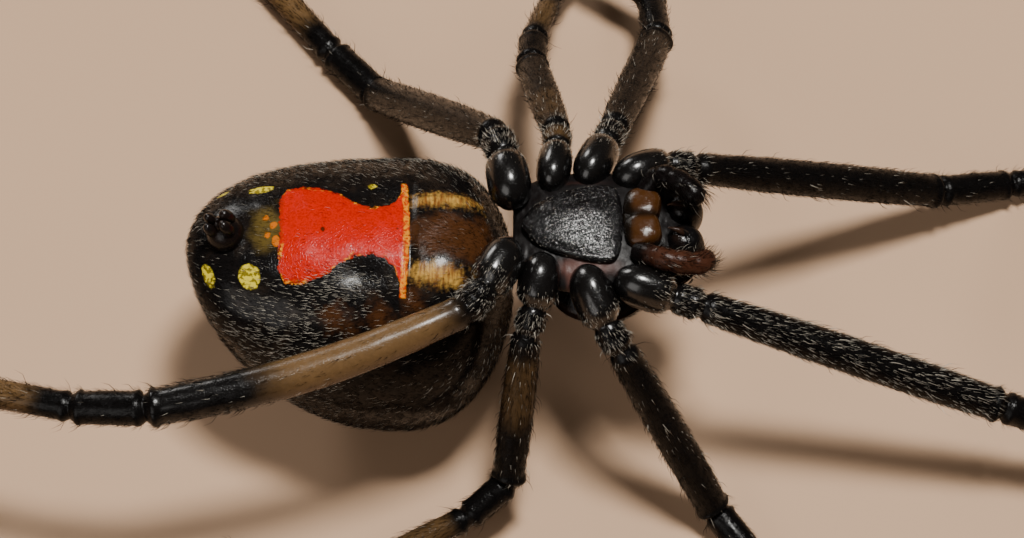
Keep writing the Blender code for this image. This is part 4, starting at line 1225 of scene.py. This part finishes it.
def make_shield_hair(name, surface, reach, half_turn, count, length, material):
    """Short hair on one face of a shield, the carapace or the sternum; it points to the head."""
    u = RNG.uniform(*reach, count)
    turn = RNG.uniform(0.1, math.pi - 0.1, count) + half_turn
    root, normal, along = surface_frame(surface, u, turn, 0.01, 0.02)
    outward = root - surface(u, turn + math.pi)
    normal *= np.sign((normal * outward).sum(1, keepdims=True))
    lie = unit(along + np.cross(normal, along) * RNG.normal(0.0, 0.25, count)[:, None])
    share = (u - reach[0]) / (reach[1] - reach[0])
    uv = np.stack((0.02 + 0.95 * turn / (2.0 * math.pi), 0.02 + 0.95 * share), -1)
    # three tenths of these hairs are pale: painted glints of light
    rows = hair_rows(root, normal, lie, length * RNG.uniform(0.7, 1.3, count), SHIELD_HAIR_RADIUS,
                     np.radians(RNG.uniform(20.0, 45.0, count)), 0.5,
                     0.6 * (RNG.uniform(0.0, 1.0, count) < 0.3), 0.1, uv)
    add_hair(name, rows, material)


# Stage, light and camera

def make_floor():
    """The plain pale floor."""
    material, tree, shader = new_finish("floor")
    point = object_point(tree)
    colour = mix_colour(tree, noise(tree, point, 30.0), (0.42, 0.265, 0.16, 1.0),
                        (0.47, 0.295, 0.18, 1.0))
    tree.links.new(colour, shader.inputs["Base Color"])
    shader.inputs["Roughness"].default_value = 0.7
    half = 0.6
    mesh = bpy.data.meshes.new("floor")
    mesh.from_pydata([(-half, -half, 0), (half, -half, 0), (half, half, 0), (-half, half, 0)], [],
                     [(0, 1, 2, 3)])
    mesh.materials.append(material)
    floor = bpy.data.objects.new("floor", mesh)
    bpy.context.collection.objects.link(floor)


def camera_axes():
    """The directions back to the camera and up in its picture."""
    tilt = math.radians(CAMERA_TILT)
    back = Vector((0.0, -math.sin(tilt), math.cos(tilt)))
    up = Vector((0.0, math.cos(tilt), math.sin(tilt)))
    return back, up


def make_camera():
    """The camera, aimed so that the belly lies at its pixel of the photo's view."""
    back, up = camera_axes()
    target = Vector((0.0, 0.0, ABDOMEN_HEIGHT))
    target += Vector((1.0, 0.0, 0.0)) * ((0.5 * PHOTO_WIDTH - BELLY_PIXEL[0]) / PIXELS_PER_MM)
    target -= up * ((0.5 * PHOTO_HEIGHT - BELLY_PIXEL[1]) / PIXELS_PER_MM)
    data = bpy.data.cameras.new("camera")
    data.sensor_width = SENSOR
    data.lens = SENSOR * PIXELS_PER_MM * CAMERA_DISTANCE / PHOTO_WIDTH
    data.clip_start = 0.005
    data.clip_end = 5.0
    camera = bpy.data.objects.new("camera", data)
    camera.location = (target + back * CAMERA_DISTANCE) * MM
    camera.rotation_euler = (math.radians(CAMERA_TILT), 0.0, 0.0)
    bpy.context.collection.objects.link(camera)
    bpy.context.scene.camera = camera


def add_light(name, place, size, power, colour):
    """A square soft light at a place in mm that faces the spider's front body."""
    data = bpy.data.lights.new(name, "AREA")
    data.size = size * MM
    data.energy = power
    data.color = colour
    light = bpy.data.objects.new(name, data)
    light.location = Vector(place) * MM
    aim = Vector((3.0, 0.0, 5.0)) * MM - light.location
    light.rotation_euler = aim.to_track_quat("-Z", "Y").to_euler()
    bpy.context.collection.objects.link(light)


def make_lights():
    """A key, a wide fill, a rim light and a dim surround."""
    back, up = camera_axes()
    centre = Vector((3.0, 0.0, 6.0))
    key = centre + back * 95.0 + up * 62.0 + Vector((14.0, 0.0, 0.0))
    add_light("key", key, 22.0, 0.23, (1.0, 0.98, 0.94))
    fill = centre + back * 75.0 - up * 40.0 + Vector((-50.0, 0.0, 0.0))
    add_light("fill", fill, 60.0, 0.03, (1.0, 0.96, 0.92))
    add_light("rim", centre + Vector((-70.0, 110.0, 50.0)), 40.0, 0.07, (1.0, 0.97, 0.93))
    world = bpy.data.worlds.new("world")
    world.use_nodes = True
    background = world.node_tree.nodes["Background"]
    background.inputs[0].default_value = (0.6, 0.52, 0.44, 1.0)
    background.inputs[1].default_value = 0.12
    bpy.context.scene.world = world


def build():
    """Make the finishes, every piece, and the stage."""
    relief = make_relief_group()
    skins = {name: cuticle_finish(name, relief, *values) for name, values in CUTICLES.items()}
    # the third colour is the pale of painted glints on the hair
    hair = hair_finish("hair", (0.0025, 0.002, 0.0018), (0.01, 0.005, 0.002), (0.55, 0.5, 0.42))
    legs = [leg_plan(side, pair) for side, pair in STANCE]
    for leg in legs:
        make_leg_skin(leg, skins["leg_cuticle"])
        make_leg_hair(leg, hair)
    make_claws(legs, skins["body_cuticle"])
    make_abdomen(abdomen_finish(relief))
    make_abdomen_hair(hair)
    make_pedicel(skins["soft_cuticle"])
    make_carapace(skins["body_cuticle"])
    make_eyes(skins["eye_lens"])
    make_membrane(skins["soft_cuticle"])
    make_sternum(skins["sternum_cuticle"])
    make_mouth(skins["amber_cuticle"], skins["body_cuticle"])
    make_palps(skins["palp_cuticle"], hair)
    make_spinnerets(skins["body_cuticle"])
    make_shield_hair("hair_carapace", carapace_surface, (4.05, 7.2), math.pi, 2400, 0.13, hair)
    make_shield_hair("hair_sternum", sternum_surface, (0.06, 0.94), 0.0, 420, 0.08, hair)
    make_floor()
    make_camera()
    make_lights()


build()
